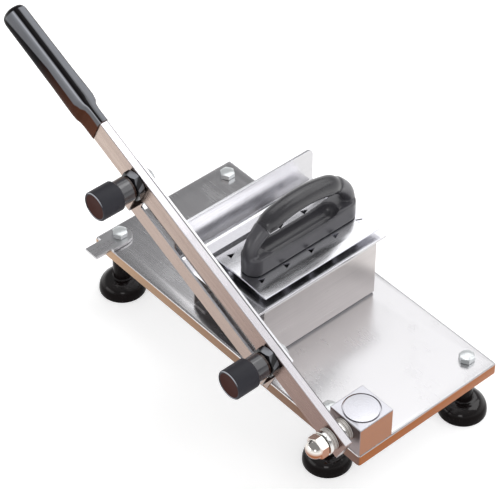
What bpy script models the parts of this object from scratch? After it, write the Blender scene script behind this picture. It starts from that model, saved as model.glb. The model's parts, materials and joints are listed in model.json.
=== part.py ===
"""Hand-levered slicer for frozen meat rolls, modelled as an assembly of separate pieces.

Metres. While the pieces are built, X runs from the handle end to the pivot end of the base, Y is
the feed direction away from the knobs, Z is up, and zero is the middle of the base plate's top.
The lever arm's own frame has its zero where the pivot leaves the block: along the arm towards the
handle is -X, outward from the block is -Y, across the arm is Z. At the end one empty carries
everything so that the middle of the whole slicer's box stands over zero at bench level.
"""
import math

import bmesh
import bpy
from mathutils import Matrix, Vector

# Gaps and overruns
SEAT = 0.0003             # left between two pieces that touch
OVERRUN = 0.002           # how far a cutter runs past the wall it cuts
MERGE = 0.00001           # points closer than this are one point

# Base plate: a shallow pan of folded sheet
BASE_LENGTH = 0.360
BASE_WIDTH = 0.166
BASE_SHEET = 0.002
BASE_FLANGE = 0.012
BASE_BEND = 0.0025

# Feet and the bolts that hold them
STAND_HEIGHT = 0.064      # top of the base above the bench
FOOT_INSET_HANDLE_END = 0.0165
FOOT_INSET_PIVOT_END = 0.0205
FOOT_INSET_SIDE = 0.017
FOOT_BLOCK_CLEAR = 0.018  # front foot's bolt from the side of the pivot block
FOOT_RIM_RADIUS = 0.0225
FOOT_RIM_LAND = 0.003
FOOT_RIM_LIP = 0.0014
FOOT_CUP_HEIGHT = 0.016
FOOT_CUP_HOLLOW = 0.008
FOOT_CUP_WALL = 0.0035
FOOT_CUP_ANGLES = (62, 38, 14)  # of the points on its round outside, in degrees
FOOT_HOLLOW_ANGLES = (0, 40)    # and inside
FOOT_NECK_RADIUS = 0.0085
FOOT_COLLAR_RADIUS = 0.0115
FOOT_COLLAR_HEIGHT = 0.007
M8_RADIUS = 0.004
M8_FLATS = 0.013
M8_HEAD = 0.0053
FOOT_BOLT_LENGTH = 0.022
INSERT_FLANGE_RADIUS = 0.0085
INSERT_FLANGE = 0.0016
INSERT_RADIUS = 0.0062
INSERT_LENGTH = 0.020

# Stop strap that the lever bar comes down on
STRAP_THICK = 0.003
STRAP_WIDTH = 0.0234
STRAP_TONGUE = 0.0165     # narrower width of the part that overhangs the base
STRAP_TONGUE_SHIFT = 0.0013
STRAP_SPARE = 0.0021      # how far the tongue reaches past the bar

# Riser under the table
RISER_SHEET = 0.0015
RISER_BEND = 0.003
RISER_FOOT = 0.016        # inward flange on the base
RISER_SETBACK_BLADE = 0.018
RISER_SETBACK_REAR = 0.011
RISER_SIDE = 0.0455       # outer face of the wall on the pivot side
RISER_WIDTH = 0.0965

# Table and fence, one bent sheet
TABLE_TOP = 0.066         # above the base
TABLE_SHEET = 0.0025
TABLE_LENGTH = 0.1615
TABLE_OVERHANG = 0.001    # past the riser's wall on the pivot side
TABLE_BEND = 0.004
FENCE_HEIGHT = 0.038      # above the table
FENCE_CORNER = 0.006
SHEAR_GAP = 0.0004        # table edge to the back of the blade

# M4 screws through the riser's feet
M4_RADIUS = 0.002
M4_HEAD_RADIUS = 0.004
M4_HEAD = 0.0022
M4_FLATS = 0.007
M4_NUT = 0.0032
M4_LENGTH = 0.008
RISER_SCREW_INSET = 0.022  # from the riser's ends

# Pivot block
BLOCK_LENGTH = 0.038
BLOCK_WIDTH = 0.038
BLOCK_HEIGHT = 0.032
BLOCK_EDGE = 0.0006
CAP_RADIUS = 0.0167
CAP_THICK = 0.0015
CAP_PROUD = 0.0002
M6_RADIUS = 0.003
M6_HEAD_RADIUS = 0.0055
M6_HEAD = 0.0033
M6_DEPTH = 0.012
BLOCK_SCREW_SPACING = 0.020

# Pivot stack, outwards from the block
PIVOT_HEIGHT = 0.020
PIVOT_RADIUS = 0.006
PIVOT_DEPTH = 0.028        # of the stud in the block
PIVOT_STANDOUT = 0.0375    # of the stud past the block
DISC_COUNT = 4
DISC_RADIUS = 0.0108
DISC_THICK = 0.0007
DISC_HEIGHT = 0.00105      # of one dished disc
RING_RADIUS = 0.0112
INNER_RING = 0.0025
OUTER_RING = 0.0033
BUSH_RADIUS = 0.008
DOME_FLATS = 0.019
DOME_HEX = 0.0085
DOME_HEIGHT = 0.0162
DOME_CORNER = 0.0096       # radius of the domed top where it meets the hexagon

# Lever bar
ARM_REST = 25.0            # degrees above level, as stored
BAR_HEIGHT = 0.026
BAR_THICK = 0.008
BAR_HEEL = 0.015           # past the pivot
BAR_CORNER = 0.0008
RELIEF_DEPTH = 0.004       # in the lower edge, over the blade
RELIEF_RAMP = 0.004
RELIEF_SPARE = 0.006       # from a clamp nut's centre line to the relief, past the lug

# Blade
BLADE_START = 0.070
BLADE_LENGTH = 0.2212
BLADE_BOLT_INSET = 0.0142  # a bolt's centre line from the blade's end
BLADE_THICK = 0.002
BLADE_SPINE_DROP = 0.0005  # spine below the bar's top edge
BLADE_REACH = 0.0173       # edge below the bar
BLADE_BEVEL = 0.012
BLADE_EDGE = 0.0001
BLADE_CORNER = 0.008

# Thickness adjusters: bolt, clamp nut, knob
ADJUST_BOLT_LENGTH = 0.0468
CLAMP_FLATS = 0.0244
CLAMP_NUT = 0.0074
CLAMP_POCKET_SPARE = 0.0015  # round the clip
THIN_TRAVEL = 0.0005       # of the plate towards the blade from rest
SPIGOT_RADIUS = 0.006
SPIGOT_END = 0.001         # beyond the clip's groove
GROOVE_RADIUS = 0.0051
CLIP_RADIUS = 0.0078
CLIP_INNER = 0.0055
CLIP_THICK = 0.001
CLIP_MOUTH = 0.004
KNOB_INSERT_RADIUS = 0.0072
KNOB_INSERT_LENGTH = 0.021
KNOB_LENGTH = 0.0357
KNOB_NECK = 0.0112
KNOB_NECK_RADIUS = 0.0119
KNOB_RADIUS = 0.01395
KNOB_SHOULDER = 0.0016
KNOB_RIM = 0.0012
KNOB_DISH = 0.0007
KNOB_BORE_END = 0.0045     # solid left at the blind end

# Thickness plate: strip and two cranked lugs from one sheet
PLATE_SHEET = 0.002
PLATE_HEIGHT = 0.018
PLATE_CLEAR = 0.0020       # its top edge below the blade's edge
SLICE_AT_REST = 0.0022
LUG_WIDTH = 0.022
LUG_SHELF = 0.0235         # shelf below the bolts' centre line
LUG_BEND = 0.0025
LUG_CROWN_ANGLES = (20, 40, 58, 74)  # of the points on its round end, in degrees

# Lever handle
HANDLE_FROM_BOLT = 0.059   # its start from the upper bolt's centre line
HANDLE_LENGTH = 0.139
TANG_LENGTH = 0.094        # of the bar inside it
SOCKET_HEIGHT = 0.0295
SOCKET_DEPTH = 0.0108
GRIP_HEIGHT = 0.0305
GRIP_DEPTH = 0.021
GRIP_TIP_HEIGHT = 0.0285
GRIP_TIP_DEPTH = 0.0205
GRIP_SHIFT = 0.001         # grip's middle towards the block from the bar's

# Pusher
PUSHER_LENGTH = 0.137
PUSHER_WIDTH = 0.066
PUSHER_LIP = 0.009
PUSHER_LIP_TILT = 24.0     # degrees
PUSHER_SHEET = 0.0015
PUSHER_CAMBER = 0.0022
PUSHER_FROM_BLADE = 0.0225  # plate's end from the table's edge
PUSHER_FROM_EDGE = 0.0055   # plate's near side from the table's near side
TOOTH_WIDTH = 0.0063
TOOTH_LENGTH = 0.0067
TOOTH_PITCH = 0.0288
TOOTH_FIRST = 0.0095
TOOTH_COUNT = 5
TOOTH_NEAR = 0.018          # row's middle from the near side
TOOTH_FAR = 0.059
HANDLE_BASE_MARGIN = 0.0045  # past the bow at each end
HANDLE_BASE_WIDTH = 0.0235
HANDLE_BASE_HEIGHT = 0.0148
HANDLE_BASE_WALL = 0.003     # round the finger scoop between the legs
HANDLE_SCOOP = 0.009
BOW_HEIGHT = 0.0510         # bow's centre line above the plate
BOW_SPAN = 0.115
BOW_LEG_RADIUS = 0.0068
BOW_GRIP_RADIUS = 0.0095
BOW_SEAM = 0.0004
BOW_SEAM_RUN = 0.002        # straight either side of the seam
PUSHER_SCREW_DEPTH = 0.012

# Facets
ROUND_STEPS = 24
SMALL_STEPS = 12
CAP_STEPS = 36
FOOT_STEPS = 20
BEND_STEPS = 4
CORNER_STEPS = 5
CAMBER_STEPS = 8
BASE_END_STEPS = 12
SMOOTH_TURNED = 32.0       # edges flatter than this many degrees are shaded smooth
SMOOTH_SHEET = 25.0
SMOOTH_MOULDED = 50.0

# Shares of a fastener's own sizes
HEAD_CROWN_SHARE = 0.6     # flat top of a pan head, of its radius
BOLT_POINT_SHARE = 0.25    # chamfer at a bolt's end, of its radius
NUT_CHAMFER = 30.0         # degrees, on the corners of hexagons
STUD_CHAMFER_SHARE = 0.17  # of the stud's radius
RING_EDGE_SHARE = 0.125    # broken corner of a thrust ring, of the inner one's thickness
STRAP_EDGE_SHARE = 0.125   # broken edge of the stop strap, of its thickness

# Colours, roughness, metallic
STEEL = ((0.62, 0.61, 0.60), 0.28, 1.0)
BRIGHT_STEEL = ((0.80, 0.79, 0.77), 0.18, 1.0)
BLADE_STEEL = ((0.70, 0.70, 0.70), 0.14, 1.0)
ALLOY = ((0.86, 0.86, 0.87), 0.34, 1.0)
CHROME = ((0.85, 0.83, 0.80), 0.06, 1.0)
BRASS = ((0.78, 0.58, 0.27), 0.30, 1.0)
BRONZE = ((0.62, 0.42, 0.22), 0.38, 1.0)
BLACK_PLASTIC = ((0.030, 0.031, 0.034), 0.42, 0.0)
GLOSS_PLASTIC = ((0.012, 0.012, 0.014), 0.18, 0.0)
RUBBER = ((0.010, 0.010, 0.011), 0.35, 0.0)
WHITE_CAP = ((0.86, 0.87, 0.90), 0.30, 0.0)

# Sizes worked out from those above
BASE_END = BASE_LENGTH / 2
BASE_SIDE = BASE_WIDTH / 2
BLOCK_FACE = -BASE_SIDE
PIVOT_X = BASE_END - BLOCK_LENGTH / 2
SPRING_STACK = SEAT + DISC_COUNT * (DISC_HEIGHT + SEAT)
BAR_IN = SPRING_STACK + INNER_RING + SEAT
BAR_OUT = BAR_IN + BAR_THICK
RING_OUT = BAR_OUT + SPRING_STACK
NUT_OUT = RING_OUT + OUTER_RING + SEAT
BAR_HALF = BAR_HEIGHT / 2
LOWER_BOLT = BLADE_START + BLADE_BOLT_INSET     # along the bar from the pivot
UPPER_BOLT = BLADE_START + BLADE_LENGTH - BLADE_BOLT_INSET
HANDLE_START = UPPER_BOLT + HANDLE_FROM_BOLT
HANDLE_END = HANDLE_START + HANDLE_LENGTH
BAR_LENGTH = HANDLE_START + TANG_LENGTH
BLADE_OUT = BAR_IN - SEAT
BLADE_IN = BLADE_OUT - BLADE_THICK
BLADE_TOP = BAR_HALF - BLADE_SPINE_DROP
BLADE_BOTTOM = -BAR_HALF - BLADE_REACH
PLATE_IN = BLADE_IN + SLICE_AT_REST
PLATE_TOP = BLADE_BOTTOM - PLATE_CLEAR
CLAMP_IN = BAR_OUT + SEAT
CLAMP_OUT = CLAMP_IN + CLAMP_NUT
EAR_IN = CLAMP_OUT + SEAT + THIN_TRAVEL
EAR_OUT = EAR_IN + PLATE_SHEET
KNOB_IN = EAR_OUT + SEAT
CLIP_OUT = EAR_IN - SEAT
CLIP_IN = CLIP_OUT - CLIP_THICK
SPIGOT_IN = CLIP_IN - SEAT - SPIGOT_END
POCKET_FLOOR = SPIGOT_IN - THIN_TRAVEL - SEAT
TABLE_EDGE = BLOCK_FACE - BLADE_IN + SHEAR_GAP
TABLE_REAR = TABLE_EDGE + TABLE_LENGTH
TABLE_NEAR = RISER_SIDE + TABLE_OVERHANG
RISER_FAR = RISER_SIDE - RISER_WIDTH
FENCE_FACE = RISER_FAR - SEAT
TABLE_UNDER = TABLE_TOP - TABLE_SHEET
RISER_TOP = TABLE_UNDER - SEAT
RISER_START = TABLE_EDGE + RISER_SETBACK_BLADE
RISER_REAR = TABLE_REAR - RISER_SETBACK_REAR
HANDLE_BASE_LENGTH = BOW_SPAN + HANDLE_BASE_MARGIN * 2
FLOOR = -STAND_HEIGHT


def clear_scene():
    for old in list(bpy.data.objects):
        bpy.data.objects.remove(old, do_unlink=True)


def new_collection(name):
    collection = bpy.data.collections.new(name)
    bpy.context.scene.collection.children.link(collection)
    return collection


def finish(name, look):
    colour, roughness, metallic = look
    material = bpy.data.materials.new(name)
    material.use_nodes = True
    shader = material.node_tree.nodes["Principled BSDF"]
    shader.inputs["Base Color"].default_value = (*colour, 1.0)
    shader.inputs["Roughness"].default_value = roughness
    shader.inputs["Metallic"].default_value = metallic
    material.diffuse_color = (*colour, 1.0)
    return material


def place(obj, parent, location=(0, 0, 0)):
    obj.parent = parent
    obj.location = location
    return obj


def piece(name, mesh, look, parent, location=(0, 0, 0)):
    """One sub-part: its own object, its own material, carried by an empty."""
    obj = bpy.data.objects.new(name, mesh)
    parts.objects.link(obj)
    mesh.name = name
    mesh.materials.clear()
    mesh.materials.append(finish(name, look))
    return place(obj, parent, location)


def repeated(name, mesh, look, parent, spots):
    """Numbered copies of one piece, an object each, which share its mesh."""
    first = piece(f"{name}_1", mesh, look, parent, spots[0])
    for number, spot in enumerate(spots[1:], 2):
        obj = first.copy()
        obj.name = f"{name}_{number}"
        parts.objects.link(obj)
        obj.location = spot


def empty(name, parent, location):
    obj = bpy.data.objects.new(name, None)
    parts.objects.link(obj)
    return place(obj, parent, location)


def cutter(target, mesh, operation="DIFFERENCE"):
    """Cut a piece with a mesh in the piece's own frame."""
    tool = bpy.data.objects.new(target.name + "_cutter", mesh)
    cutters.objects.link(tool)
    place(tool, target.parent, target.location)
    tool.rotation_euler = target.rotation_euler
    tool.hide_render = True
    tool.display_type = "WIRE"
    cut = target.modifiers.new(tool.name, "BOOLEAN")
    cut.operation = operation
    cut.object = tool
    cut.solver = "EXACT"
    return tool


def evaluated(obj):
    """A plain mesh of the object with its modifiers applied."""
    bpy.context.view_layer.update()
    depsgraph = bpy.context.evaluated_depsgraph_get()
    return bpy.data.meshes.new_from_object(obj.evaluated_get(depsgraph), depsgraph=depsgraph)


def smooth(mesh, degrees=SMOOTH_TURNED):
    mesh.shade_smooth()
    mesh.set_sharp_from_angle(angle=math.radians(degrees))
    return mesh


def from_bmesh(bm, name="mesh"):
    mesh = bpy.data.meshes.new(name)
    bmesh.ops.recalc_face_normals(bm, faces=bm.faces)
    bm.to_mesh(mesh)
    bm.free()
    return mesh


def weld(mesh):
    bm = bmesh.new()
    bm.from_mesh(mesh)
    bmesh.ops.remove_doubles(bm, verts=bm.verts, dist=MERGE)
    return from_bmesh(bm, mesh.name)


def box(low, high, edge=0.0, bevel_steps=2):
    """A block between two corners, its edges rounded by edge."""
    size = Vector(high) - Vector(low)
    middle = (Vector(high) + Vector(low)) / 2
    bm = bmesh.new()
    scale = Matrix.Translation(middle) @ Matrix.Diagonal((*size, 1.0))
    bmesh.ops.create_cube(bm, size=1.0, matrix=scale)
    if edge:
        bmesh.ops.bevel(bm, geom=bm.edges[:], offset=edge, segments=bevel_steps,
                        affect="EDGES", profile=0.5)
    return from_bmesh(bm)


def rod(radius, low, high, places=((0, 0),), steps=SMALL_STEPS):
    """Upright cylinders from low to high at each (x, y)."""
    bm = bmesh.new()
    for x, y in places:
        middle = Matrix.Translation((x, y, (low + high) / 2))
        bmesh.ops.create_cone(bm, cap_ends=True, segments=steps, radius1=radius,
                              radius2=radius, depth=high - low, matrix=middle)
    return from_bmesh(bm)


def turned(profile, closed=False, steps=ROUND_STEPS, turn=0.0):
    """A solid of revolution from (radius, height) points that run down its outer side."""
    mesh = bpy.data.meshes.new("profile")
    spin = Matrix.Rotation(turn, 3, "Z")
    points = [spin @ Vector((radius, 0, height)) for radius, height in profile]
    links = [(i, i + 1) for i in range(len(points) - 1)]
    if closed:
        links.append((len(points) - 1, 0))
    mesh.from_pydata(points, links, [])
    guide = bpy.data.objects.new("profile", mesh)
    cutters.objects.link(guide)
    screw = guide.modifiers.new("turn", "SCREW")
    screw.steps = steps
    screw.render_steps = steps
    screw.use_merge_vertices = True
    screw.merge_threshold = MERGE
    solid = evaluated(guide)
    bpy.data.objects.remove(guide, do_unlink=True)
    return smooth(weld(solid))


def hexagon(flats, low, high, chamfer=True):
    """A hexagonal prism whose top corners a cone has taken off."""
    corner = flats / math.sqrt(3)
    prism = rod(corner, low, high, steps=6)
    if not chamfer:
        return prism
    reach = corner + OVERRUN
    drop = (reach - flats / 2) * math.tan(math.radians(NUT_CHAMFER))
    cone = turned([(0, high), (flats / 2, high), (reach, high - drop), (reach, low - OVERRUN),
                   (0, low - OVERRUN)])
    return combine(prism, cone, "INTERSECT")


def combine(first, second, operation):
    """Boolean of two meshes in one frame."""
    a = bpy.data.objects.new("first", first)
    b = bpy.data.objects.new("second", second)
    cutters.objects.link(a)
    cutters.objects.link(b)
    step = a.modifiers.new("join", "BOOLEAN")
    step.operation = operation
    step.object = b
    step.solver = "EXACT"
    mesh = evaluated(a)
    bpy.data.objects.remove(a, do_unlink=True)
    bpy.data.objects.remove(b, do_unlink=True)
    return mesh


def moved(mesh, matrix):
    """A copy of the mesh moved by a matrix."""
    copy = mesh.copy()
    copy.transform(matrix)
    if matrix.determinant() < 0:
        copy.flip_normals()
    return copy


def gathered(meshes):
    """Separate bodies in one mesh."""
    bm = bmesh.new()
    for mesh in meshes:
        bm.from_mesh(mesh)
    mesh = bpy.data.meshes.new("group")
    bm.to_mesh(mesh)
    bm.free()
    return mesh


# A turned piece whose height runs outward from the block, and a flat outline drawn along the
# arm and across it, its thickness running outward
OUTWARD = UPRIGHT = Matrix.Rotation(math.radians(90), 4, "X")


def arc(centre, radius, start, end, steps):
    """Points on an arc, angles in degrees."""
    points = []
    for i in range(steps + 1):
        angle = math.radians(start + (end - start) * i / steps)
        points.append((centre[0] + radius * math.cos(angle), centre[1] + radius * math.sin(angle)))
    return points


def rounded_path(corners, radius, steps=BEND_STEPS):
    """An open path with each inner corner turned at the given radius."""
    path = [Vector(corners[0])]
    for before, corner, after in zip(corners, corners[1:], corners[2:]):
        here = Vector(corner)
        back = (Vector(before) - here).normalized()
        onward = (Vector(after) - here).normalized()
        half = back.angle(onward) / 2
        setback = radius / math.tan(half)
        centre = here + (back + onward).normalized() * radius / math.sin(half)
        first = (here + back * setback - centre).normalized()
        last = (here + onward * setback - centre).normalized()
        for i in range(steps + 1):
            path.append(centre + first.slerp(last, i / steps) * radius)
    path.append(Vector(corners[-1]))
    return path


def flat_shape(outline, thickness, holes=()):
    """A flat outline with holes as a filled 2D curve, thickness centred on its plane."""
    data = bpy.data.curves.new("outline", "CURVE")
    data.dimensions = "2D"
    data.fill_mode = "BOTH"
    data.extrude = thickness / 2
    for loop in (outline, *holes):
        spline = data.splines.new("POLY")
        spline.points.add(len(loop) - 1)
        for point, (x, y) in zip(spline.points, loop):
            point.co = (x, y, 0, 1)
        spline.use_cyclic_u = True
    guide = bpy.data.objects.new("outline", data)
    cutters.objects.link(guide)
    mesh = evaluated(guide)
    bpy.data.objects.remove(guide, do_unlink=True)
    return weld(mesh)


def circle(centre, radius, steps=SMALL_STEPS):
    return arc(centre, radius, 0, 360 - 360 / steps, steps - 1)


def folded_sheet(path, start, end, sheet, outward):
    """A sheet bent along a path in X and Z, from start to end in Y.

    The path is one face of the sheet, and outward is +1 or -1 for the side the metal is on.
    """
    bm = bmesh.new()
    front = [bm.verts.new((x, start, z)) for x, z in path]
    back = [bm.verts.new((x, end, z)) for x, z in path]
    for i in range(len(path) - 1):
        bm.faces.new((front[i], front[i + 1], back[i + 1], back[i]))
    return thickened(bm, sheet, outward)


def thickened(bm, sheet, outward):
    """Solidify an open surface into sheet metal, kept in the order its faces were made."""
    mesh = bpy.data.meshes.new("sheet")
    bm.to_mesh(mesh)
    bm.free()
    guide = bpy.data.objects.new("sheet", mesh)
    cutters.objects.link(guide)
    solid = guide.modifiers.new("sheet", "SOLIDIFY")
    solid.thickness = sheet
    solid.offset = outward
    solid.use_even_offset = True
    result = evaluated(guide)
    bpy.data.objects.remove(guide, do_unlink=True)
    return smooth(weld(result), SMOOTH_SHEET)


def foot_places():
    """Bolt centres of the four feet: stop corner, far corner, pivot end far side, front."""
    handle_end = -BASE_END + FOOT_INSET_HANDLE_END
    pivot_end = BASE_END - FOOT_INSET_PIVOT_END
    side = BASE_SIDE - FOOT_INSET_SIDE
    front = BASE_END - BLOCK_LENGTH - FOOT_BLOCK_CLEAR
    return [(handle_end, -side), (handle_end, side), (pivot_end, side), (front, -side)]


def riser_screw_places(inset_from_wall):
    low = RISER_START + RISER_SCREW_INSET
    high = RISER_REAR - RISER_SCREW_INSET
    near = RISER_SIDE - inset_from_wall
    far = RISER_FAR + inset_from_wall
    return [(x, y) for x in (near, far) for y in (low, high)]


def block_screw_places():
    middle_y = BLOCK_FACE + BLOCK_WIDTH / 2
    half = BLOCK_SCREW_SPACING / 2
    return [(PIVOT_X - half, middle_y), (PIVOT_X + half, middle_y)]


def build_base_plate(carrier):
    """Pan of folded sheet: a top and four flanges, with bends rounded, then given its sheet."""
    bm = bmesh.new()
    shape = Matrix.Translation((0, 0, -BASE_FLANGE / 2)) @ Matrix.Diagonal(
        (BASE_LENGTH, BASE_WIDTH, BASE_FLANGE, 1.0))
    bmesh.ops.create_cube(bm, size=1.0, matrix=shape)
    under = [face for face in bm.faces if face.normal.z < -math.cos(math.radians(45))]
    bmesh.ops.delete(bm, geom=under, context="FACES_ONLY")
    bends = [edge for edge in bm.edges if len(edge.link_faces) == 2]
    bmesh.ops.bevel(bm, geom=bends, offset=BASE_BEND, segments=3, affect="EDGES", profile=0.5)
    pan = piece("base_plate", thickened(bm, BASE_SHEET, -1), STEEL, carrier)
    low = -BASE_SHEET - OVERRUN
    cutter(pan, rod(M8_RADIUS + SEAT, low, OVERRUN, foot_places()))
    cutter(pan, rod(M4_RADIUS + SEAT, low, OVERRUN, riser_screw_places(RISER_FOOT / 2)))
    cutter(pan, rod(M6_RADIUS + SEAT, low, OVERRUN, block_screw_places()))
    return pan


def foot_mesh(height):
    """Rubber foot on its rim: suction cup, neck, collar, and the pocket for the insert."""
    rim = FOOT_RIM_RADIUS
    cup = FOOT_CUP_HEIGHT
    neck = FOOT_NECK_RADIUS
    swell = rim - neck
    rise = cup - FOOT_RIM_LIP
    collar = height - FOOT_COLLAR_HEIGHT
    pocket = height - INSERT_LENGTH
    bore = INSERT_RADIUS + SEAT
    land = rim - FOOT_RIM_LAND
    profile = [(0, pocket), (bore, pocket), (bore, height), (FOOT_COLLAR_RADIUS, height),
               (FOOT_COLLAR_RADIUS, collar), (neck, collar - FOOT_CUP_WALL), (neck, cup)]
    for angle in FOOT_CUP_ANGLES:
        turn = math.radians(angle)
        profile.append((neck + swell * math.cos(turn), FOOT_RIM_LIP + rise * math.sin(turn)))
    profile += [(rim, FOOT_RIM_LIP), (rim, 0)]
    for angle in FOOT_HOLLOW_ANGLES:
        turn = math.radians(angle)
        profile.append((land * math.cos(turn), FOOT_CUP_HOLLOW * math.sin(turn)))
    profile.append((0, FOOT_CUP_HOLLOW))
    return turned(profile, steps=FOOT_STEPS)


def build_feet(carrier):
    """Suction feet, the flanged inserts bonded in their necks, and the hex bolts."""
    hole = M8_RADIUS + SEAT
    flange_top = -BASE_SHEET - SEAT
    flange_under = flange_top - INSERT_FLANGE
    sleeve_end = flange_under - INSERT_LENGTH
    foot_top = flange_under - SEAT
    places = foot_places()
    repeated("suction_foot", foot_mesh(foot_top - FLOOR), RUBBER, carrier,
             [(x, y, FLOOR) for x, y in places])
    insert = turned([(hole, flange_top), (INSERT_FLANGE_RADIUS, flange_top),
                     (INSERT_FLANGE_RADIUS, flange_under), (INSERT_RADIUS, flange_under),
                     (INSERT_RADIUS, sleeve_end), (hole, sleeve_end)], closed=True,
                    steps=SMALL_STEPS)
    repeated("foot_insert", insert, STEEL, carrier, [(x, y, 0) for x, y in places])
    bolt = hex_bolt(M8_FLATS, M8_HEAD, M8_RADIUS, FOOT_BOLT_LENGTH)
    lifts = [SEAT + STRAP_THICK + SEAT, SEAT, SEAT, SEAT]
    repeated("foot_bolt", bolt, BRIGHT_STEEL, carrier,
             [(x, y, lift) for (x, y), lift in zip(places, lifts)])


def hex_bolt(flats, head, radius, length):
    """Bolt with its head on the plane z = 0 and its shank below."""
    hexagonal = hexagon(flats, 0, head)
    point = radius * BOLT_POINT_SHARE
    shank = turned([(0, head / 2), (radius, head / 2), (radius, -length + point),
                    (radius - point, -length), (0, -length)], steps=SMALL_STEPS)
    return smooth(combine(hexagonal, shank, "UNION"))


def build_stop_strap(carrier):
    """Flat strap under the foot bolt by the handle end, its tongue out under the bar."""
    x, y = foot_places()[0]
    half = STRAP_WIDTH / 2
    tongue = STRAP_TONGUE / 2
    middle = x + STRAP_TONGUE_SHIFT
    edge = BLOCK_FACE
    tip = BLOCK_FACE - BAR_OUT - STRAP_SPARE
    outline = arc((x, y), half, 180, 0, CORNER_STEPS * 2)
    outline += [(x + half, edge), (middle + tongue, edge), (middle + tongue, tip),
                (middle - tongue, tip), (middle - tongue, edge), (x - half, edge)]
    hole = circle((x, y), M8_RADIUS + SEAT)
    strap = piece("stop_strap", flat_shape(outline, STRAP_THICK, [hole]), STEEL, carrier,
                  (0, 0, SEAT + STRAP_THICK / 2))
    bevel = strap.modifiers.new("edges", "BEVEL")
    bevel.width = STRAP_THICK * STRAP_EDGE_SHARE
    bevel.segments = 1
    bevel.limit_method = "ANGLE"
    return strap


def build_riser(carrier):
    """Upturned channel between base and table, its feet turned inwards."""
    low = SEAT
    near = RISER_SIDE
    far = RISER_FAR
    corners = [(near - RISER_FOOT, low), (near, low), (near, RISER_TOP), (far, RISER_TOP),
               (far, low), (far + RISER_FOOT, low)]
    path = rounded_path(corners, RISER_BEND)
    riser = piece("table_riser", folded_sheet(path, RISER_START, RISER_REAR, RISER_SHEET, 1),
                  STEEL, carrier)
    cutter(riser, rod(M4_RADIUS + SEAT, -OVERRUN, low + RISER_SHEET + OVERRUN,
                      riser_screw_places(RISER_FOOT / 2)))
    return riser


def build_table(carrier):
    """Table and fence from one sheet, bent up on the side away from the pivot.

    The sheet is spot-welded to the riser's web, so no screw goes through it.
    """
    inner = FENCE_FACE
    corners = [(TABLE_NEAR, TABLE_TOP), (inner, TABLE_TOP), (inner, TABLE_TOP + FENCE_HEIGHT)]
    path = rounded_path(corners, TABLE_BEND)
    table = piece("meat_table", folded_sheet(path, TABLE_EDGE, TABLE_REAR, TABLE_SHEET, 1),
                  BRIGHT_STEEL, carrier)
    clip_fence_corner(table, TABLE_EDGE + FENCE_CORNER, -1)
    clip_fence_corner(table, TABLE_REAR - FENCE_CORNER, 1)
    return table


def clip_fence_corner(table, y, side):
    """Round one top corner of the fence, side being its direction along Y."""
    z = TABLE_TOP + FENCE_HEIGHT - FENCE_CORNER
    beyond = FENCE_CORNER + OVERRUN
    quarter = arc((0, z), FENCE_CORNER, 90, 0, CORNER_STEPS)
    quarter += [(beyond, z), (beyond, z + beyond), (0, z + beyond)]
    outline = [(y + side * across, up) for across, up in quarter]
    solid = flat_shape(outline, TABLE_SHEET + OVERRUN * 2)
    upright = Matrix.Translation((FENCE_FACE - TABLE_SHEET / 2, 0, 0)) @ Matrix(
        ((0, 0, 1, 0), (1, 0, 0, 0), (0, 1, 0, 0), (0, 0, 0, 1)))
    cutter(table, moved(solid, upright))


def build_riser_fixings(carrier):
    """Pan screws down through the riser's feet and the base, each with a nut below."""
    radius = M4_RADIUS
    head = M4_HEAD_RADIUS
    seat = SEAT + RISER_SHEET + SEAT
    pan = turned([(0, M4_HEAD), (head * HEAD_CROWN_SHARE, M4_HEAD), (head, M4_HEAD / 2), (head, 0),
                  (radius, 0), (radius, -M4_LENGTH), (0, -M4_LENGTH)], steps=SMALL_STEPS)
    places = riser_screw_places(RISER_FOOT / 2)
    repeated("riser_screw", pan, BRIGHT_STEEL, carrier, [(x, y, seat) for x, y in places])
    nut = combine(hexagon(M4_FLATS, -M4_NUT, 0, chamfer=False),
                  rod(radius + SEAT, -M4_NUT - OVERRUN, OVERRUN), "DIFFERENCE")
    under_base = -BASE_SHEET - SEAT
    repeated("riser_nut", nut, STEEL, carrier, [(x, y, under_base) for x, y in places])


def build_block(carrier):
    """Pivot block with its bore, cap recess and the two screws that hold it from below."""
    low = (BASE_END - BLOCK_LENGTH, BLOCK_FACE, SEAT)
    high = (BASE_END, BLOCK_FACE + BLOCK_WIDTH, BLOCK_HEIGHT)
    block = piece("pivot_block", box(low, high, BLOCK_EDGE, 1), ALLOY, carrier)
    floor = BLOCK_HEIGHT - CAP_THICK + CAP_PROUD
    middle = (PIVOT_X, BLOCK_FACE + BLOCK_WIDTH / 2)
    cutter(block, rod(CAP_RADIUS + SEAT, floor - SEAT, BLOCK_HEIGHT + OVERRUN, [middle],
                      CAP_STEPS))
    bore = rod(PIVOT_RADIUS + SEAT, -PIVOT_DEPTH - SEAT, OVERRUN, steps=ROUND_STEPS)
    cutter(block, moved(bore, Matrix.Translation((PIVOT_X, BLOCK_FACE, PIVOT_HEIGHT)) @ OUTWARD))
    cutter(block, rod(M6_RADIUS + SEAT, -OVERRUN, M6_DEPTH, block_screw_places()))
    cap = turned([(0, floor + CAP_THICK), (CAP_RADIUS - CAP_PROUD, floor + CAP_THICK),
                  (CAP_RADIUS, floor + CAP_THICK - CAP_PROUD), (CAP_RADIUS, floor), (0, floor)],
                 steps=CAP_STEPS)
    piece("block_cap", cap, WHITE_CAP, carrier, (middle[0], middle[1], 0))
    under = -BASE_SHEET - SEAT
    tip = M6_DEPTH - SEAT * 2 - under
    screw = turned([(0, tip), (M6_RADIUS, tip), (M6_RADIUS, 0), (M6_HEAD_RADIUS, 0),
                    (M6_HEAD_RADIUS, -M6_HEAD / 2),
                    (M6_HEAD_RADIUS * HEAD_CROWN_SHARE, -M6_HEAD), (0, -M6_HEAD)],
                   steps=SMALL_STEPS)
    repeated("block_screw", screw, STEEL, carrier,
             [(x, y, under) for x, y in block_screw_places()])


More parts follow.
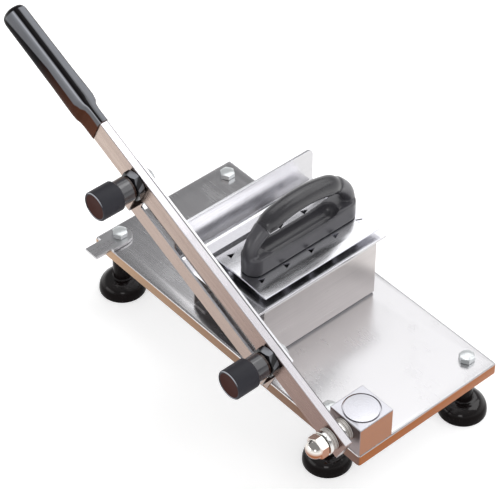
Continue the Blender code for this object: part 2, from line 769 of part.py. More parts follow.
def disc_spring(start, inner_lift, outer_lift):
    """One dished disc, its height outward from start, its inner or outer edge lifted."""
    inner = PIVOT_RADIUS + SEAT
    low = start + inner_lift
    edge = start + outer_lift
    disc = turned([(inner, low + DISC_THICK), (DISC_RADIUS, edge + DISC_THICK),
                   (DISC_RADIUS, edge), (inner, low)], closed=True)
    return moved(disc, OUTWARD)


def ring(inner, outer, start, thick, edge=0.0):
    """A flat ring with its outer corners broken."""
    return turned([(inner, start + thick), (outer - edge, start + thick),
                   (outer, start + thick - edge), (outer, start + edge), (outer - edge, start),
                   (inner, start)], closed=True)


def build_pivot(carrier):
    """Stud in the block, and outward on it disc springs, ring, bar, disc springs, ring, nut."""
    stud_tip = PIVOT_STANDOUT
    chamfer = PIVOT_RADIUS * STUD_CHAMFER_SHARE
    stud = turned([(0, stud_tip), (PIVOT_RADIUS - chamfer, stud_tip),
                   (PIVOT_RADIUS, stud_tip - chamfer), (PIVOT_RADIUS, -PIVOT_DEPTH),
                   (0, -PIVOT_DEPTH)])
    piece("pivot_stud", moved(stud, OUTWARD), STEEL, carrier)
    dish = DISC_HEIGHT - DISC_THICK
    for side, start in (("inner", SEAT), ("outer", BAR_OUT + SEAT)):
        for i in range(DISC_COUNT):
            lifts = (dish, 0) if i % 2 == 0 else (0, dish)
            disc = disc_spring(start + i * (DISC_HEIGHT + SEAT), *lifts)
            piece(f"{side}_disc_spring_{i + 1}", disc, STEEL, carrier)
    bore = PIVOT_RADIUS + SEAT
    edge = INNER_RING * RING_EDGE_SHARE
    inner = ring(bore, RING_RADIUS, SPRING_STACK, INNER_RING, edge)
    piece("inner_thrust_ring", moved(inner, OUTWARD), BRIGHT_STEEL, carrier)
    outer = ring(bore, RING_RADIUS, RING_OUT, OUTER_RING, edge)
    piece("outer_thrust_ring", moved(outer, OUTWARD), BRIGHT_STEEL, carrier)
    piece("pivot_dome_nut", moved(dome_nut(), OUTWARD), CHROME, carrier)


def dome_nut():
    """Hexagon with a turned dome, bored blind for the stud."""
    dome_rise = DOME_HEIGHT - DOME_HEX
    base = NUT_OUT
    dome = [(0, base + DOME_HEIGHT)]
    for across, up in arc((0, 0), 1, 90, 0, CORNER_STEPS)[1:]:
        dome.append((DOME_CORNER * across, base + DOME_HEX + dome_rise * up))
    cap = turned(dome + [(DOME_CORNER, base + DOME_HEX / 2), (0, base + DOME_HEX / 2)])
    body = combine(hexagon(DOME_FLATS, base, base + DOME_HEX), cap, "UNION")
    bore_end = PIVOT_STANDOUT + SEAT
    bore = rod(PIVOT_RADIUS + SEAT, base - OVERRUN, bore_end, steps=ROUND_STEPS)
    return smooth(combine(body, bore, "DIFFERENCE"))


def bar_outline():
    """Side view of the bar and its tang, in the arm's frame with the handle towards -X."""
    top = BAR_HALF
    low = -BAR_HALF
    cut = BAR_CORNER
    step = low + RELIEF_DEPTH
    begin = LOWER_BOLT + LUG_WIDTH / 2 + RELIEF_SPARE
    end = UPPER_BOLT - LUG_WIDTH / 2 - RELIEF_SPARE
    along = [(-BAR_HEEL, low + cut), (-BAR_HEEL, top - cut), (-BAR_HEEL + cut, top),
             (BAR_LENGTH - cut, top), (BAR_LENGTH, top - cut), (BAR_LENGTH, low + cut),
             (BAR_LENGTH - cut, low), (end + RELIEF_RAMP, low), (end, step), (begin, step),
             (begin - RELIEF_RAMP, low), (-BAR_HEEL + cut, low)]
    return [(-s, n) for s, n in along]


def build_bar(carrier):
    """Lever bar with the bush bore and two bolt holes."""
    holes = [circle((0, 0), BUSH_RADIUS + SEAT, ROUND_STEPS)]
    for s in (LOWER_BOLT, UPPER_BOLT):
        holes.append(circle((-s, 0), M8_RADIUS + SEAT))
    flat = flat_shape(bar_outline(), BAR_THICK, holes)
    middle = (0, -(BAR_IN + BAR_OUT) / 2, 0)
    bar = piece("lever_bar", moved(flat, Matrix.Translation(middle) @ UPRIGHT), BRIGHT_STEEL, carrier)
    bevel = bar.modifiers.new("edges", "BEVEL")
    bevel.width = BAR_CORNER / 2
    bevel.segments = 1
    bevel.limit_method = "ANGLE"
    bevel.angle_limit = math.radians(60)
    bush = turned([(PIVOT_RADIUS + SEAT, BAR_OUT), (BUSH_RADIUS, BAR_OUT), (BUSH_RADIUS, BAR_IN),
                   (PIVOT_RADIUS + SEAT, BAR_IN)], closed=True)
    piece("pivot_bush", moved(bush, OUTWARD), BRONZE, carrier)


def build_blade(carrier):
    """Blade bolted flat to the bar's back, ground from the front to one edge."""
    start = BLADE_START
    end = BLADE_START + BLADE_LENGTH
    round_low = BLADE_BOTTOM + BLADE_CORNER
    outline = [(-start, BLADE_TOP), (-end, BLADE_TOP)]
    outline += arc((-end + BLADE_CORNER, round_low), BLADE_CORNER, 180, 270, CORNER_STEPS)
    outline += arc((-start - BLADE_CORNER, round_low), BLADE_CORNER, 270, 360, CORNER_STEPS)
    holes = [circle((-s, 0), M8_RADIUS + SEAT) for s in (LOWER_BOLT, UPPER_BOLT)]
    flat = flat_shape(outline, BLADE_THICK, holes)
    middle = (0, -(BLADE_IN + BLADE_OUT) / 2, 0)
    blade = piece("blade", moved(flat, Matrix.Translation(middle) @ UPRIGHT), BLADE_STEEL, carrier)
    run = (BLADE_THICK - BLADE_EDGE) / BLADE_BEVEL
    high = BLADE_BOTTOM + BLADE_BEVEL
    low = BLADE_BOTTOM - OVERRUN
    tip_out = BLADE_IN + BLADE_EDGE - OVERRUN * run
    wedge_profile = [(BLADE_OUT, high), (tip_out, low), (BLADE_OUT + OVERRUN, low),
                     (BLADE_OUT + OVERRUN, high)]
    length = BLADE_LENGTH + OVERRUN * 2
    wedge = flat_shape(wedge_profile, length)
    along = Matrix(((0, 0, 1, -(start + end) / 2), (-1, 0, 0, 0), (0, 1, 0, 0), (0, 0, 0, 1)))
    cutter(blade, moved(wedge, along))
    return blade


def build_adjusters(arm, sliding):
    """Per knob: bolt and clamp nut on the bar, knob with insert and clip on the plate."""
    shank = ADJUST_BOLT_LENGTH
    bolt = moved(hex_bolt(M8_FLATS, M8_HEAD, M8_RADIUS, shank), Matrix.Rotation(math.pi, 4, "X"))
    head_plane = BLADE_IN - SEAT
    nut = combine(hexagon(CLAMP_FLATS, CLAMP_IN, CLAMP_OUT),
                  rod(M8_RADIUS + SEAT, CLAMP_IN - OVERRUN, CLAMP_OUT + OVERRUN), "DIFFERENCE")
    pocket = rod(CLIP_RADIUS + CLAMP_POCKET_SPARE, POCKET_FLOOR, CLAMP_OUT + OVERRUN,
                 steps=ROUND_STEPS)
    nut = combine(nut, pocket, "DIFFERENCE")
    for label, s in (("upper", UPPER_BOLT), ("lower", LOWER_BOLT)):
        at = (-s, 0, 0)
        piece(label + "_adjuster_bolt",
              moved(bolt, OUTWARD @ Matrix.Translation((0, 0, head_plane))), BRIGHT_STEEL, arm, at)
        piece(label + "_clamp_nut", moved(nut, OUTWARD), BLACK_PLASTIC, arm, at)
        axis = empty(label + "_knob_axis", sliding, at)
        piece(label + "_knob", moved(knob_mesh(), OUTWARD), BLACK_PLASTIC, axis)
        piece(label + "_knob_insert", moved(insert_mesh(), OUTWARD), BRASS, axis)
        piece(label + "_knob_clip", moved(clip_mesh(), OUTWARD), STEEL, axis)


def knob_mesh():
    """Necked knob, dished at the end, bored blind for its insert and the bolt."""
    end = KNOB_IN + KNOB_LENGTH
    neck_end = KNOB_IN + KNOB_NECK
    rim = KNOB_RADIUS - KNOB_RIM
    bore = KNOB_INSERT_RADIUS + SEAT
    bolt = M8_RADIUS + SEAT
    step = KNOB_IN + KNOB_INSERT_LENGTH + SEAT
    blind = end - KNOB_BORE_END
    return turned([(0, end - KNOB_DISH), (rim - KNOB_DISH, end - KNOB_DISH), (rim, end),
                   (KNOB_RADIUS, end - KNOB_RIM), (KNOB_RADIUS, neck_end + KNOB_SHOULDER),
                   (KNOB_NECK_RADIUS, neck_end), (KNOB_NECK_RADIUS, KNOB_IN), (bore, KNOB_IN),
                   (bore, step), (bolt, step), (bolt, blind), (0, blind)])


def insert_mesh():
    """Threaded insert: body in the knob, spigot through the lug, groove for the clip."""
    bore = M8_RADIUS + SEAT
    end = KNOB_IN + KNOB_INSERT_LENGTH
    groove_in = CLIP_IN - SEAT
    return turned([(bore, end), (KNOB_INSERT_RADIUS, end), (KNOB_INSERT_RADIUS, KNOB_IN),
                   (SPIGOT_RADIUS, KNOB_IN), (SPIGOT_RADIUS, CLIP_OUT + SEAT / 2),
                   (GROOVE_RADIUS, CLIP_OUT + SEAT / 2), (GROOVE_RADIUS, groove_in),
                   (SPIGOT_RADIUS, groove_in), (SPIGOT_RADIUS, SPIGOT_IN), (bore, SPIGOT_IN)],
                  closed=True, steps=SMALL_STEPS)


def clip_mesh():
    """Spring clip: an open ring."""
    closed_ring = ring(CLIP_INNER, CLIP_RADIUS, CLIP_IN, CLIP_THICK)
    half = CLIP_MOUTH / 2
    mouth = box((0, -half, CLIP_IN - OVERRUN), (CLIP_RADIUS + OVERRUN, half, CLIP_OUT + OVERRUN))
    return combine(closed_ring, mouth, "DIFFERENCE")


def build_thickness_plate(carrier):
    """Strip below the blade's edge, with a cranked lug at each end, all one sheet.

    The surface is drawn on its inner face. Columns run along the arm, rows up the bent path.
    """
    top = PLATE_TOP
    low = PLATE_TOP - PLATE_HEIGHT
    half = LUG_WIDTH / 2
    shelf = -LUG_SHELF
    corners = [(PLATE_IN, low), (PLATE_IN, shelf), (EAR_IN, shelf), (EAR_IN, 0)]
    path = rounded_path(corners, LUG_BEND)
    path = [path[0], Vector((PLATE_IN, top)), *path[1:]]
    rows = [(out, n, half) for out, n in path]
    for angle in LUG_CROWN_ANGLES:
        rise = half * math.sin(math.radians(angle))
        rows.append((EAR_IN, rise, half * math.cos(math.radians(angle))))
    bm = bmesh.new()
    columns = []
    for s in (LOWER_BOLT, UPPER_BOLT):
        left = [bm.verts.new((-s - width, -out, n)) for out, n, width in rows]
        right = [bm.verts.new((-s + width, -out, n)) for out, n, width in rows]
        columns.append((left, right))
        for i in range(len(rows) - 1):
            bm.faces.new((right[i], right[i + 1], left[i + 1], left[i]))
    lower, upper = columns
    bm.faces.new((lower[0][0], lower[0][1], upper[1][1], upper[1][0]))
    plate = piece("thickness_plate", thickened(bm, PLATE_SHEET, 1), STEEL, carrier)
    holes = [(-LOWER_BOLT, 0), (-UPPER_BOLT, 0)]
    through = rod(SPIGOT_RADIUS + SEAT, EAR_IN - OVERRUN, EAR_OUT + OVERRUN, holes, ROUND_STEPS)
    cutter(plate, moved(through, OUTWARD))
    return plate


# Sections of the lever handle: place along it, growth from socket to grip, taper from grip to
# tip, and how square the rounded oblong is, all as shares
HANDLE_SECTION_SHARES = ((0.0, 0.0, 0.0, 9.0), (0.10, 0.0, 0.0, 9.0), (0.14, 0.2, 0.0, 6.0),
                         (0.175, 0.7, 0.0, 3.6), (0.21, 1.0, 0.0, 2.7), (0.45, 1.0, 0.45, 2.6),
                         (0.70, 1.0, 0.7, 2.6), (0.90, 1.0, 0.9, 2.6))
HANDLE_TIP_SHARE = 0.10
HANDLE_TIP_ANGLES = (28, 50, 70, 84)  # of the sections of the domed end, in degrees
HANDLE_TIP_FULLNESS = 0.55            # exponent: lower is blunter


def handle_ring(s, height, depth, middle, squareness, count=ROUND_STEPS):
    """Section of the lever handle across the arm."""
    points = []
    for i in range(count):
        angle = 2 * math.pi * (i + 0.5) / count
        across = math.copysign(abs(math.sin(angle)) ** (2 / squareness), math.sin(angle))
        out = math.copysign(abs(math.cos(angle)) ** (2 / squareness), math.cos(angle))
        points.append((-s, middle + out * depth / 2, across * height / 2))
    return points


def build_handle(carrier):
    """Moulded grip: flat-sided socket on the bar, a shoulder, a long oval body, a domed end."""
    length = HANDLE_END - HANDLE_START
    middle = -(BAR_IN + BAR_OUT) / 2
    rings = []
    for along, growth, taper, square in HANDLE_SECTION_SHARES:
        wide = GRIP_HEIGHT + (GRIP_TIP_HEIGHT - GRIP_HEIGHT) * taper
        deep = GRIP_DEPTH + (GRIP_TIP_DEPTH - GRIP_DEPTH) * taper
        height = SOCKET_HEIGHT + (wide - SOCKET_HEIGHT) * growth
        depth = SOCKET_DEPTH + (deep - SOCKET_DEPTH) * growth
        rings.append(handle_ring(HANDLE_START + length * along, height, depth,
                                 middle + GRIP_SHIFT * growth, square))
    for angle in HANDLE_TIP_ANGLES:
        turn = math.radians(angle)
        s = HANDLE_END - length * HANDLE_TIP_SHARE * (1 - math.sin(turn))
        narrow = math.cos(turn) ** HANDLE_TIP_FULLNESS
        rings.append(handle_ring(s, GRIP_TIP_HEIGHT * narrow, GRIP_TIP_DEPTH * narrow,
                                 middle + GRIP_SHIFT, square))
    handle = piece("lever_handle", smooth(loft(rings), SMOOTH_MOULDED), GLOSS_PLASTIC, carrier)
    low = (-BAR_LENGTH - SEAT, -BAR_OUT - SEAT, -BAR_HALF - SEAT)
    high = (-HANDLE_START + OVERRUN, -BAR_IN + SEAT, BAR_HALF + SEAT)
    cutter(handle, box(low, high))
    return handle


def loft(rings):
    """Skin over rings of equal count, closed at both ends."""
    bm = bmesh.new()
    loops = [[bm.verts.new(point) for point in points] for points in rings]
    count = len(rings[0])
    for first, second in zip(loops, loops[1:]):
        for i in range(count):
            j = (i + 1) % count
            bm.faces.new((first[i], first[j], second[j], second[i]))
    bm.faces.new(loops[0])
    bm.faces.new(loops[-1])
    return from_bmesh(bm)


def camber(x):
    """Height of the arched pusher plate over its near side, x from that side."""
    share = x / (PUSHER_WIDTH + PUSHER_LIP)
    return PUSHER_CAMBER * 4 * share * (1 - share)


def build_pusher(carrier):
    """Cambered plate with a tilted lip and teeth pressed down out of it, and its handle.

    The carrier lies at the plate's near corner by the blade, on the table: -X runs to the fence.
    """
    underside = SEAT + TOOTH_LENGTH - camber(TOOTH_FAR)
    path = []
    for i in range(CAMBER_STEPS + 1):
        x = PUSHER_WIDTH * i / CAMBER_STEPS
        path.append((-x, underside + camber(x)))
    tilt = math.radians(PUSHER_LIP_TILT)
    edge_x, edge_z = path[-1]
    lip_fall = PUSHER_LIP * math.sin(tilt)
    path.append((edge_x - PUSHER_LIP * math.cos(tilt), edge_z - lip_fall))
    plate = piece("pusher_plate", folded_sheet(path, 0, PUSHER_LENGTH, PUSHER_SHEET, -1),
                  BRIGHT_STEEL, carrier)
    holes = []
    teeth = []
    for row in (TOOTH_NEAR, TOOTH_FAR):
        for i in range(TOOTH_COUNT):
            start = TOOTH_FIRST + i * TOOTH_PITCH
            holes.append(tooth_hole(row, start, underside))
            teeth.append(tooth_tab(row, start, underside))
    cutter(plate, gathered(holes))
    for tab in teeth:
        cutter(plate, tab, "UNION")
    middle_x = -PUSHER_WIDTH / 2
    middle_y = PUSHER_LENGTH / 2
    plate_top = underside + camber(PUSHER_WIDTH / 2) + PUSHER_SHEET
    spots = pusher_screw_places(middle_x, middle_y)
    cutter(plate, rod(M4_RADIUS + SEAT, underside - OVERRUN, plate_top + OVERRUN, spots))
    build_pusher_handle(carrier, middle_x, middle_y, plate_top + SEAT)
    head = M4_HEAD_RADIUS
    radius = M4_RADIUS
    tip = PUSHER_SHEET + PUSHER_SCREW_DEPTH
    screw = turned([(0, tip), (radius, tip), (radius, 0), (head, 0), (head, -M4_HEAD / 2),
                    (head * HEAD_CROWN_SHARE, -M4_HEAD), (0, -M4_HEAD)], steps=SMALL_STEPS)
    seat = plate_top - PUSHER_SHEET - SEAT
    repeated("pusher_screw", screw, STEEL, carrier, [(x, y, seat) for x, y in spots])


def tooth_hole(row, start, underside):
    """Triangular hole, its straight side across the plate and its point away from the blade."""
    half = TOOTH_WIDTH / 2
    outline = [(-row - half, start), (-row + half, start), (-row, start + TOOTH_LENGTH)]
    height = PUSHER_SHEET * 2 + OVERRUN * 2
    middle = underside + camber(row) + PUSHER_SHEET / 2
    return moved(flat_shape(outline, height), Matrix.Translation((0, 0, middle)))


def tooth_tab(row, start, underside):
    """Tooth hanging from the hole's straight side."""
    half = TOOTH_WIDTH / 2
    fold = underside + camber(row)
    root = fold + PUSHER_SHEET / 2
    outline = [(-row - half, root), (-row - half, fold), (-row, fold - TOOTH_LENGTH),
               (-row + half, fold), (-row + half, root)]
    solid = flat_shape(outline, PUSHER_SHEET)
    middle = Matrix.Translation((0, start - PUSHER_SHEET / 2, 0))
    return moved(solid, middle @ UPRIGHT)


# The bow's centre line from a foot to its seam, then on to the middle: place along half the
# span and height, as shares
LEG_SHARES = ((0.94, 0.09), (0.975, 0.20), (1.0, 0.35), (0.975, 0.49), (0.915, 0.615), (0.83, 0.72))
SEAM_SHARES = (0.73, 0.81)
GRIP_SHARES = ((0.60, 0.885), (0.42, 0.948), (0.21, 0.988))
LEG_GIRTH_SHARES = (1.15, 1.04, 1.0, 1.0, 1.04, 1.12)


def bow_point(shares):
    return Vector((shares[0] * BOW_SPAN / 2, shares[1] * BOW_HEIGHT))


def pusher_screw_places(x, y):
    """One screw up into the foot of each leg of the bow."""
    reach = bow_point(LEG_SHARES[0]).x
    return [(x, y - reach), (x, y + reach)]


def bow_lines():
    """Centre line of one leg, foot to seam, and of the grip, seam to seam, in Y and Z.

    Both run straight for a little at the seam, so their end faces stay parallel.
    """
    leg = [bow_point(shares) for shares in LEG_SHARES]
    rise = [bow_point(shares) for shares in GRIP_SHARES]
    seam = bow_point(SEAM_SHARES)
    tangent = (rise[0] - leg[-1]).normalized()
    half_gap = tangent * BOW_SEAM / 2
    run = tangent * BOW_SEAM_RUN
    leg += [seam - run, seam - half_gap]
    half_grip = [seam + half_gap, seam + run, *rise]
    other_half = [Vector((-point.x, point.y)) for point in reversed(half_grip)]
    return leg, half_grip + [Vector((0, BOW_HEIGHT))] + other_half


def tube(points, radii, origin):
    """A capped tube through points in the Y-Z plane, with a radius at each."""
    data = bpy.data.curves.new("bow", "CURVE")
    data.dimensions = "3D"
    data.bevel_depth = max(radii)
    data.bevel_resolution = 3
    data.use_fill_caps = True
    spline = data.splines.new("POLY")
    spline.points.add(len(points) - 1)
    for point, here, radius in zip(spline.points, points, radii):
        point.co = (*(Vector((0, *here)) + Vector(origin)), 1)
        point.radius = radius / data.bevel_depth
    guide = bpy.data.objects.new("bow", data)
    cutters.objects.link(guide)
    mesh = evaluated(guide)
    bpy.data.objects.remove(guide, do_unlink=True)
    return weld(mesh)


def round_ended(x, y, half_width, half_length, thickness):
    """A flat solid along Y with half-round ends, its middle at x and y."""
    end = half_length - half_width
    outline = arc((x, y + end), half_width, 0, 180, BASE_END_STEPS)
    outline += arc((x, y - end), half_width, 180, 360, BASE_END_STEPS)
    return flat_shape(outline, thickness)


def build_pusher_handle(carrier, x, y, z):
    """Base with a finger scoop and two legs as one moulding, and the grip between its seams."""
    leg, grip_line = bow_lines()
    other_leg = [Vector((-point.x, point.y)) for point in leg]
    seam_radius = (BOW_LEG_RADIUS + BOW_GRIP_RADIUS) / 2
    leg_radii = [BOW_LEG_RADIUS * share for share in LEG_GIRTH_SHARES]
    leg_radii += [seam_radius, seam_radius]
    grip_radii = [seam_radius] * 2 + [BOW_GRIP_RADIUS] * (len(grip_line) - 4) + [seam_radius] * 2
    origin = (x, y, z)
    grip = tube(grip_line, grip_radii, origin)
    piece("pusher_grip", smooth(grip, SMOOTH_MOULDED), GLOSS_PLASTIC, carrier)
    half_width = HANDLE_BASE_WIDTH / 2
    body = round_ended(x, y, half_width, HANDLE_BASE_LENGTH / 2, HANDLE_BASE_HEIGHT)
    body.transform(Matrix.Translation((0, 0, z + HANDLE_BASE_HEIGHT / 2)))
    leg_side = leg[0].x - leg_radii[0]
    scoop = round_ended(x, y, half_width - HANDLE_BASE_WALL, leg_side - HANDLE_BASE_WALL,
                        HANDLE_SCOOP * 2)
    scoop.transform(Matrix.Translation((0, 0, z + HANDLE_BASE_HEIGHT)))
    body = combine(body, scoop, "DIFFERENCE")
    for line in (leg, other_leg):
        body = combine(body, tube(line, leg_radii, origin), "UNION")
    hold = piece("pusher_handle", smooth(body, SMOOTH_MOULDED), GLOSS_PLASTIC, carrier)
    cutter(hold, rod(M4_RADIUS + SEAT, z - OVERRUN, z + PUSHER_SCREW_DEPTH + SEAT,
                     pusher_screw_places(x, y)))
    return hold


def box_of(collection):
    """Lowest and highest corner of all pieces with their modifiers applied."""
    bpy.context.view_layer.update()
    depsgraph = bpy.context.evaluated_depsgraph_get()
    corners = []
    for obj in collection.objects:
        if obj.type == "MESH":
            real = obj.evaluated_get(depsgraph)
            corners += [real.matrix_world @ vert.co for vert in real.to_mesh().vertices]
            real.to_mesh_clear()
    low = Vector([min(c[i] for c in corners) for i in range(3)])
    high = Vector([max(c[i] for c in corners) for i in range(3)])
    return low, high


def build():
    root = empty("slicer", None, (0, 0, 0))
    build_base_plate(root)
    build_feet(root)
    build_stop_strap(root)
    build_riser(root)
    build_table(root)
    build_riser_fixings(root)
    build_block(root)
    pivot = (PIVOT_X, BLOCK_FACE, PIVOT_HEIGHT)
    build_pivot(empty("pivot_axis", root, pivot))
    arm = empty("lever_axis", root, pivot)
    arm.rotation_euler = (0, math.radians(ARM_REST), 0)
    build_bar(arm)
    build_blade(arm)
    build_handle(arm)
    sliding = empty("thickness_slide", arm, (0, 0, 0))
    build_thickness_plate(sliding)
    build_adjusters(arm, sliding)
    corner = (TABLE_NEAR - PUSHER_FROM_EDGE, TABLE_EDGE + PUSHER_FROM_BLADE, TABLE_TOP)
    build_pusher(empty("pusher_slide", root, corner))
    low, high = box_of(parts)
    root.location = (-(low.x + high.x) / 2, -(low.y + high.y) / 2, -low.z)
    bpy.context.view_layer.update()
    for name in ("lever_axis", "upper_knob_axis", "lower_knob_axis", "pusher_slide"):
        print(name, [round(v, 6) for v in bpy.data.objects[name].matrix_world.translation])
    print("root", [round(v, 6) for v in root.location], "size", [round(v, 6) for v in high - low])


clear_scene()
parts = new_collection("frozen_meat_slicer")
cutters = new_collection("cutters")
build()
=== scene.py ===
"""Finishes and finer pieces for a hand-levered frozen meat slicer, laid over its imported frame.

Metres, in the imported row's frame: +X towards the pivot end, +Y away from the knobs, +Z up.
The lever's own frame starts at the pivot: -X runs along the bar to the handle, -Y outward.
"""
import json
from math import atan2, copysign, cos, pi, radians, sin, tan, tau

import bmesh
import bpy
from bpy.props import FloatProperty, FloatVectorProperty, IntProperty, PointerProperty
from mathutils import Matrix, Vector


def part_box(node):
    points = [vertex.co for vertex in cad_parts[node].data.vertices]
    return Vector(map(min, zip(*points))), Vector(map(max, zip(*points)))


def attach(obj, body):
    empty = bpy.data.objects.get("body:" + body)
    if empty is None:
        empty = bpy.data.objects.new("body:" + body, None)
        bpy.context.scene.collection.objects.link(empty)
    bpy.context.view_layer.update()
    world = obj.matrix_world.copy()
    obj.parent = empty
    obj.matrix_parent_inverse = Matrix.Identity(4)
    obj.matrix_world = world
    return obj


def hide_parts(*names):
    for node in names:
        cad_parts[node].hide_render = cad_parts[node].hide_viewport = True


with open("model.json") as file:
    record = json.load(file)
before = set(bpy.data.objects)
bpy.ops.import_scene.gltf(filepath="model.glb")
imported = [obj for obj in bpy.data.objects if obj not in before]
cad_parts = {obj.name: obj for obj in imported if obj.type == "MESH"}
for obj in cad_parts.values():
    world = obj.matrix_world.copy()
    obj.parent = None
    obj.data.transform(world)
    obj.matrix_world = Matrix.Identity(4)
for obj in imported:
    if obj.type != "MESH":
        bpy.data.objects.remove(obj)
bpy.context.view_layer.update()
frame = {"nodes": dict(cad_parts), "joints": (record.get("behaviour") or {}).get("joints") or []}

bl_info = {
    "name": "Frozen meat slicer finishes",
    "version": (1, 0, 0),
    "blender": (4, 5, 0),
    "location": "3D View > Sidebar > Slicer",
    "description": "Dresses the slicer's frame with fine pieces and materials",
    "category": "Object",
}


def tone(red, green, blue):
    """Linear colour from display values of 0 to 255."""
    shares = [value / 255 for value in (red, green, blue)]
    return tuple(((s + 0.055) / 1.055) ** 2.4 if s > 0.04045 else s / 12.92 for s in shares)


def darker(tint, amount):
    return tuple(value * amount for value in tint)


def blend_tones(first, second, amount):
    return tuple(a + (b - a) * amount for a, b in zip(first, second))


def joint_place(name):
    """Where a joint's axis stands in the row frame."""
    return Vector(next(joint["pos_m"] for joint in frame["joints"] if joint["name"] == name))


PIVOT = joint_place("arm_pivot")
KNOBS = {"upper": joint_place("upper_knob_spin"), "lower": joint_place("lower_knob_spin")}
LEVER_ANGLE = atan2(KNOBS["upper"].z - PIVOT.z, PIVOT.x - KNOBS["upper"].x)
LEVER_TURN = Matrix.Rotation(LEVER_ANGLE, 4, "Y")
OUTWARD = Matrix.Rotation(radians(90), 4, "X")
# Turns of a texture so that its X runs along the lever, its Z along an axle, or both
UNTURNED = (0.0, 0.0, 0.0)
ALONG_LEVER = (0.0, -LEVER_ANGLE, 0.0)
ALONG_AXLE = (radians(-90), 0.0, 0.0)
ALONG_BOTH = (radians(-90), -LEVER_ANGLE, 0.0)

BASE_LOW, BASE_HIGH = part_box("base_plate")
WELD = 0.00001                  # points closer than this are one
THIN = 0.0003                   # thin gaps, roundings and borders
CORNER = radians(35)            # sharper corners than this stay sharp
GRAIN_DEPTH = 0.00003           # of moulded plastic and rubber
LINE_DEPTH = 0.00001            # of brushed and turned metal
BROWNING = (-0.30, -0.02)       # stretch of the bar over which the painted reflection on its outer face turns browner
HEAD_CHAMFER = tan(radians(28))     # slope of a bolt head's chamfer
NUT_CHAMFER = tan(radians(30))      # and of a nut's


def size(text, default, largest=0.5):
    """A length that a user may change."""
    return FloatProperty(name=text, description=text + ", in metres", default=default, min=0.0,
                         max=largest, precision=5, subtype="DISTANCE", unit="LENGTH")


def share(text, default, largest=1.0):
    """A number without a unit that a user may change."""
    return FloatProperty(name=text, description=f"{text}, up to {largest:g}", default=default,
                         min=0.0, max=largest, precision=3)


def colour(text, *display):
    """A colour that a user may change, from display values of 0 to 255."""
    return FloatVectorProperty(name=text, description="Colour of: " + text, size=3, min=0.0,
                               default=tone(*display), max=1.0, subtype="COLOR")


def spot(text, *default):
    """A place that a user may change."""
    return FloatVectorProperty(name=text, description=text + ", in metres", default=default,
                               size=3, subtype="TRANSLATION", unit="LENGTH")


class SheetSettings(bpy.types.PropertyGroup):
    """Steel and alloy pieces."""
    edge: size("Rounding of cut sheet edges", 0.0003)
    casting_edge: size("Rounding of the pivot block's edges", 0.0007)
    steel: colour("Brushed stainless sheet", 208, 207, 209)
    polished: colour("Polished stainless sheet", 226, 226, 230)
    blade: colour("Ground blade steel", 212, 212, 215)
    alloy: colour("Pivot block and its cap", 200, 200, 206)
    bar_top: colour("Ground top of the lever bar", 200, 197, 201)
    # The four tones below are painted coppery and brownish reflections on upright faces. They stand in
    # for what those faces mirror and are not the metal's own colour
    copper_reflection: colour("Upright faces at the pivot end", 153, 91, 51)
    block_end_reflection: colour("Block's face at the pivot end", 160, 108, 78)
    long_side_reflection: colour("Long upright faces by the handle", 174, 140, 108)
    far_side_reflection: colour("Long upright faces towards the pivot", 110, 84, 76)
    roughness: share("Roughness of brushed sheet", 0.24)


class FootSettings(bpy.types.PropertyGroup):
    """Suction feet and the bolts above them."""
    neck: size("Radius of the neck", 0.0085)
    collar: size("Radius of the collar under the base", 0.0115)
    collar_height: size("Height of that collar", 0.007)
    cup_height: size("Height of the suction cup", 0.016)
    lip: size("Height of the cup's upright lip", 0.0014)
    land: size("Width of the flat that stands on the bench", 0.003)
    hollow: size("Depth of the cup's hollow", 0.008)
    pocket: size("Radius of the pocket for the insert", 0.0065)
    pocket_depth: size("Depth of that pocket", 0.020)
    bolt_radius: size("Radius of a bolt's shank", 0.004)
    bolt_flats: size("Bolt head across its flats", 0.013)
    bolt_head: size("Height of a bolt's head", 0.0053)
    rubber: colour("Feet", 26, 21, 21)


class PivotSettings(bpy.types.PropertyGroup):
    """Springs, rings and nut on the pivot stud."""
    bore: size("Bore radius of springs and rings", 0.0063)
    disc: size("Thickness of one disc spring", 0.0007)
    nut_flats: size("Domed nut across its flats", 0.019)
    nut_hexagon: size("Height of the nut's hexagon", 0.0085)
    nut_dome: size("Radius of the dome where it leaves the hexagon", 0.0088)
    nut_bore: size("Depth of the nut's blind bore", 0.0092)
    spring: colour("Disc springs", 236, 232, 228)
    chrome: colour("Mirror plating of the domed nut", 232, 228, 222)
    cap_gap: size("Gap round the cap in the block", 0.0008)


class LeverSettings(bpy.types.PropertyGroup):
    """Lever bar, handle, adjusters and knobs."""
    socket_height: size("Handle height where the bar enters", 0.0295)
    socket_depth: size("Handle depth where the bar enters", 0.0108)
    grip_height: size("Handle height at its widest", 0.0305)
    grip_depth: size("Handle depth at its widest", 0.021)
    tip_height: size("Handle height near its end", 0.0285)
    tip_depth: size("Handle depth near its end", 0.0205)
    knob_neck: size("Radius of a knob's neck", 0.0119)
    knob_neck_length: size("Length of that neck", 0.0112)
    knob_shoulder: size("Slope between the neck and the knob's body", 0.0016)
    knob_rim: size("Rounding of the knob's outer rim", 0.0012)
    knob_dish: size("Depth of the knob's dished end", 0.0007)
    insert_bore: size("Radius of the bore for the threaded insert", 0.0075)
    insert_depth: size("Depth of that bore", 0.0213)
    clamp_pocket: size("Radius of the clamp nut's pocket", 0.0093)
    plate_gap: size("Depth of that pocket", 0.0028)
    # Painted reflection on the bar's outer face, by the handle and by the pivot
    near_outer_reflection: colour("Bar's outer face by the handle", 190, 172, 161)
    far_outer_reflection: colour("Bar's outer face by the pivot", 142, 116, 108)
    grip: colour("Lever handle", 20, 18, 20)
    # Painted reflections: a brown one low on the handle by the bar, and a pale sheen that is also painted
    # on the knob rims and clamp nut facets
    grip_brown_reflection: colour("Lower side of the handle by the bar", 98, 58, 40)
    painted_sheen: colour("Rubbed outer side of the handle", 192, 195, 203)
    knob: colour("Knobs and clamp nuts", 58, 58, 64)
    knob_end: colour("Dished end of a knob", 66, 34, 28)


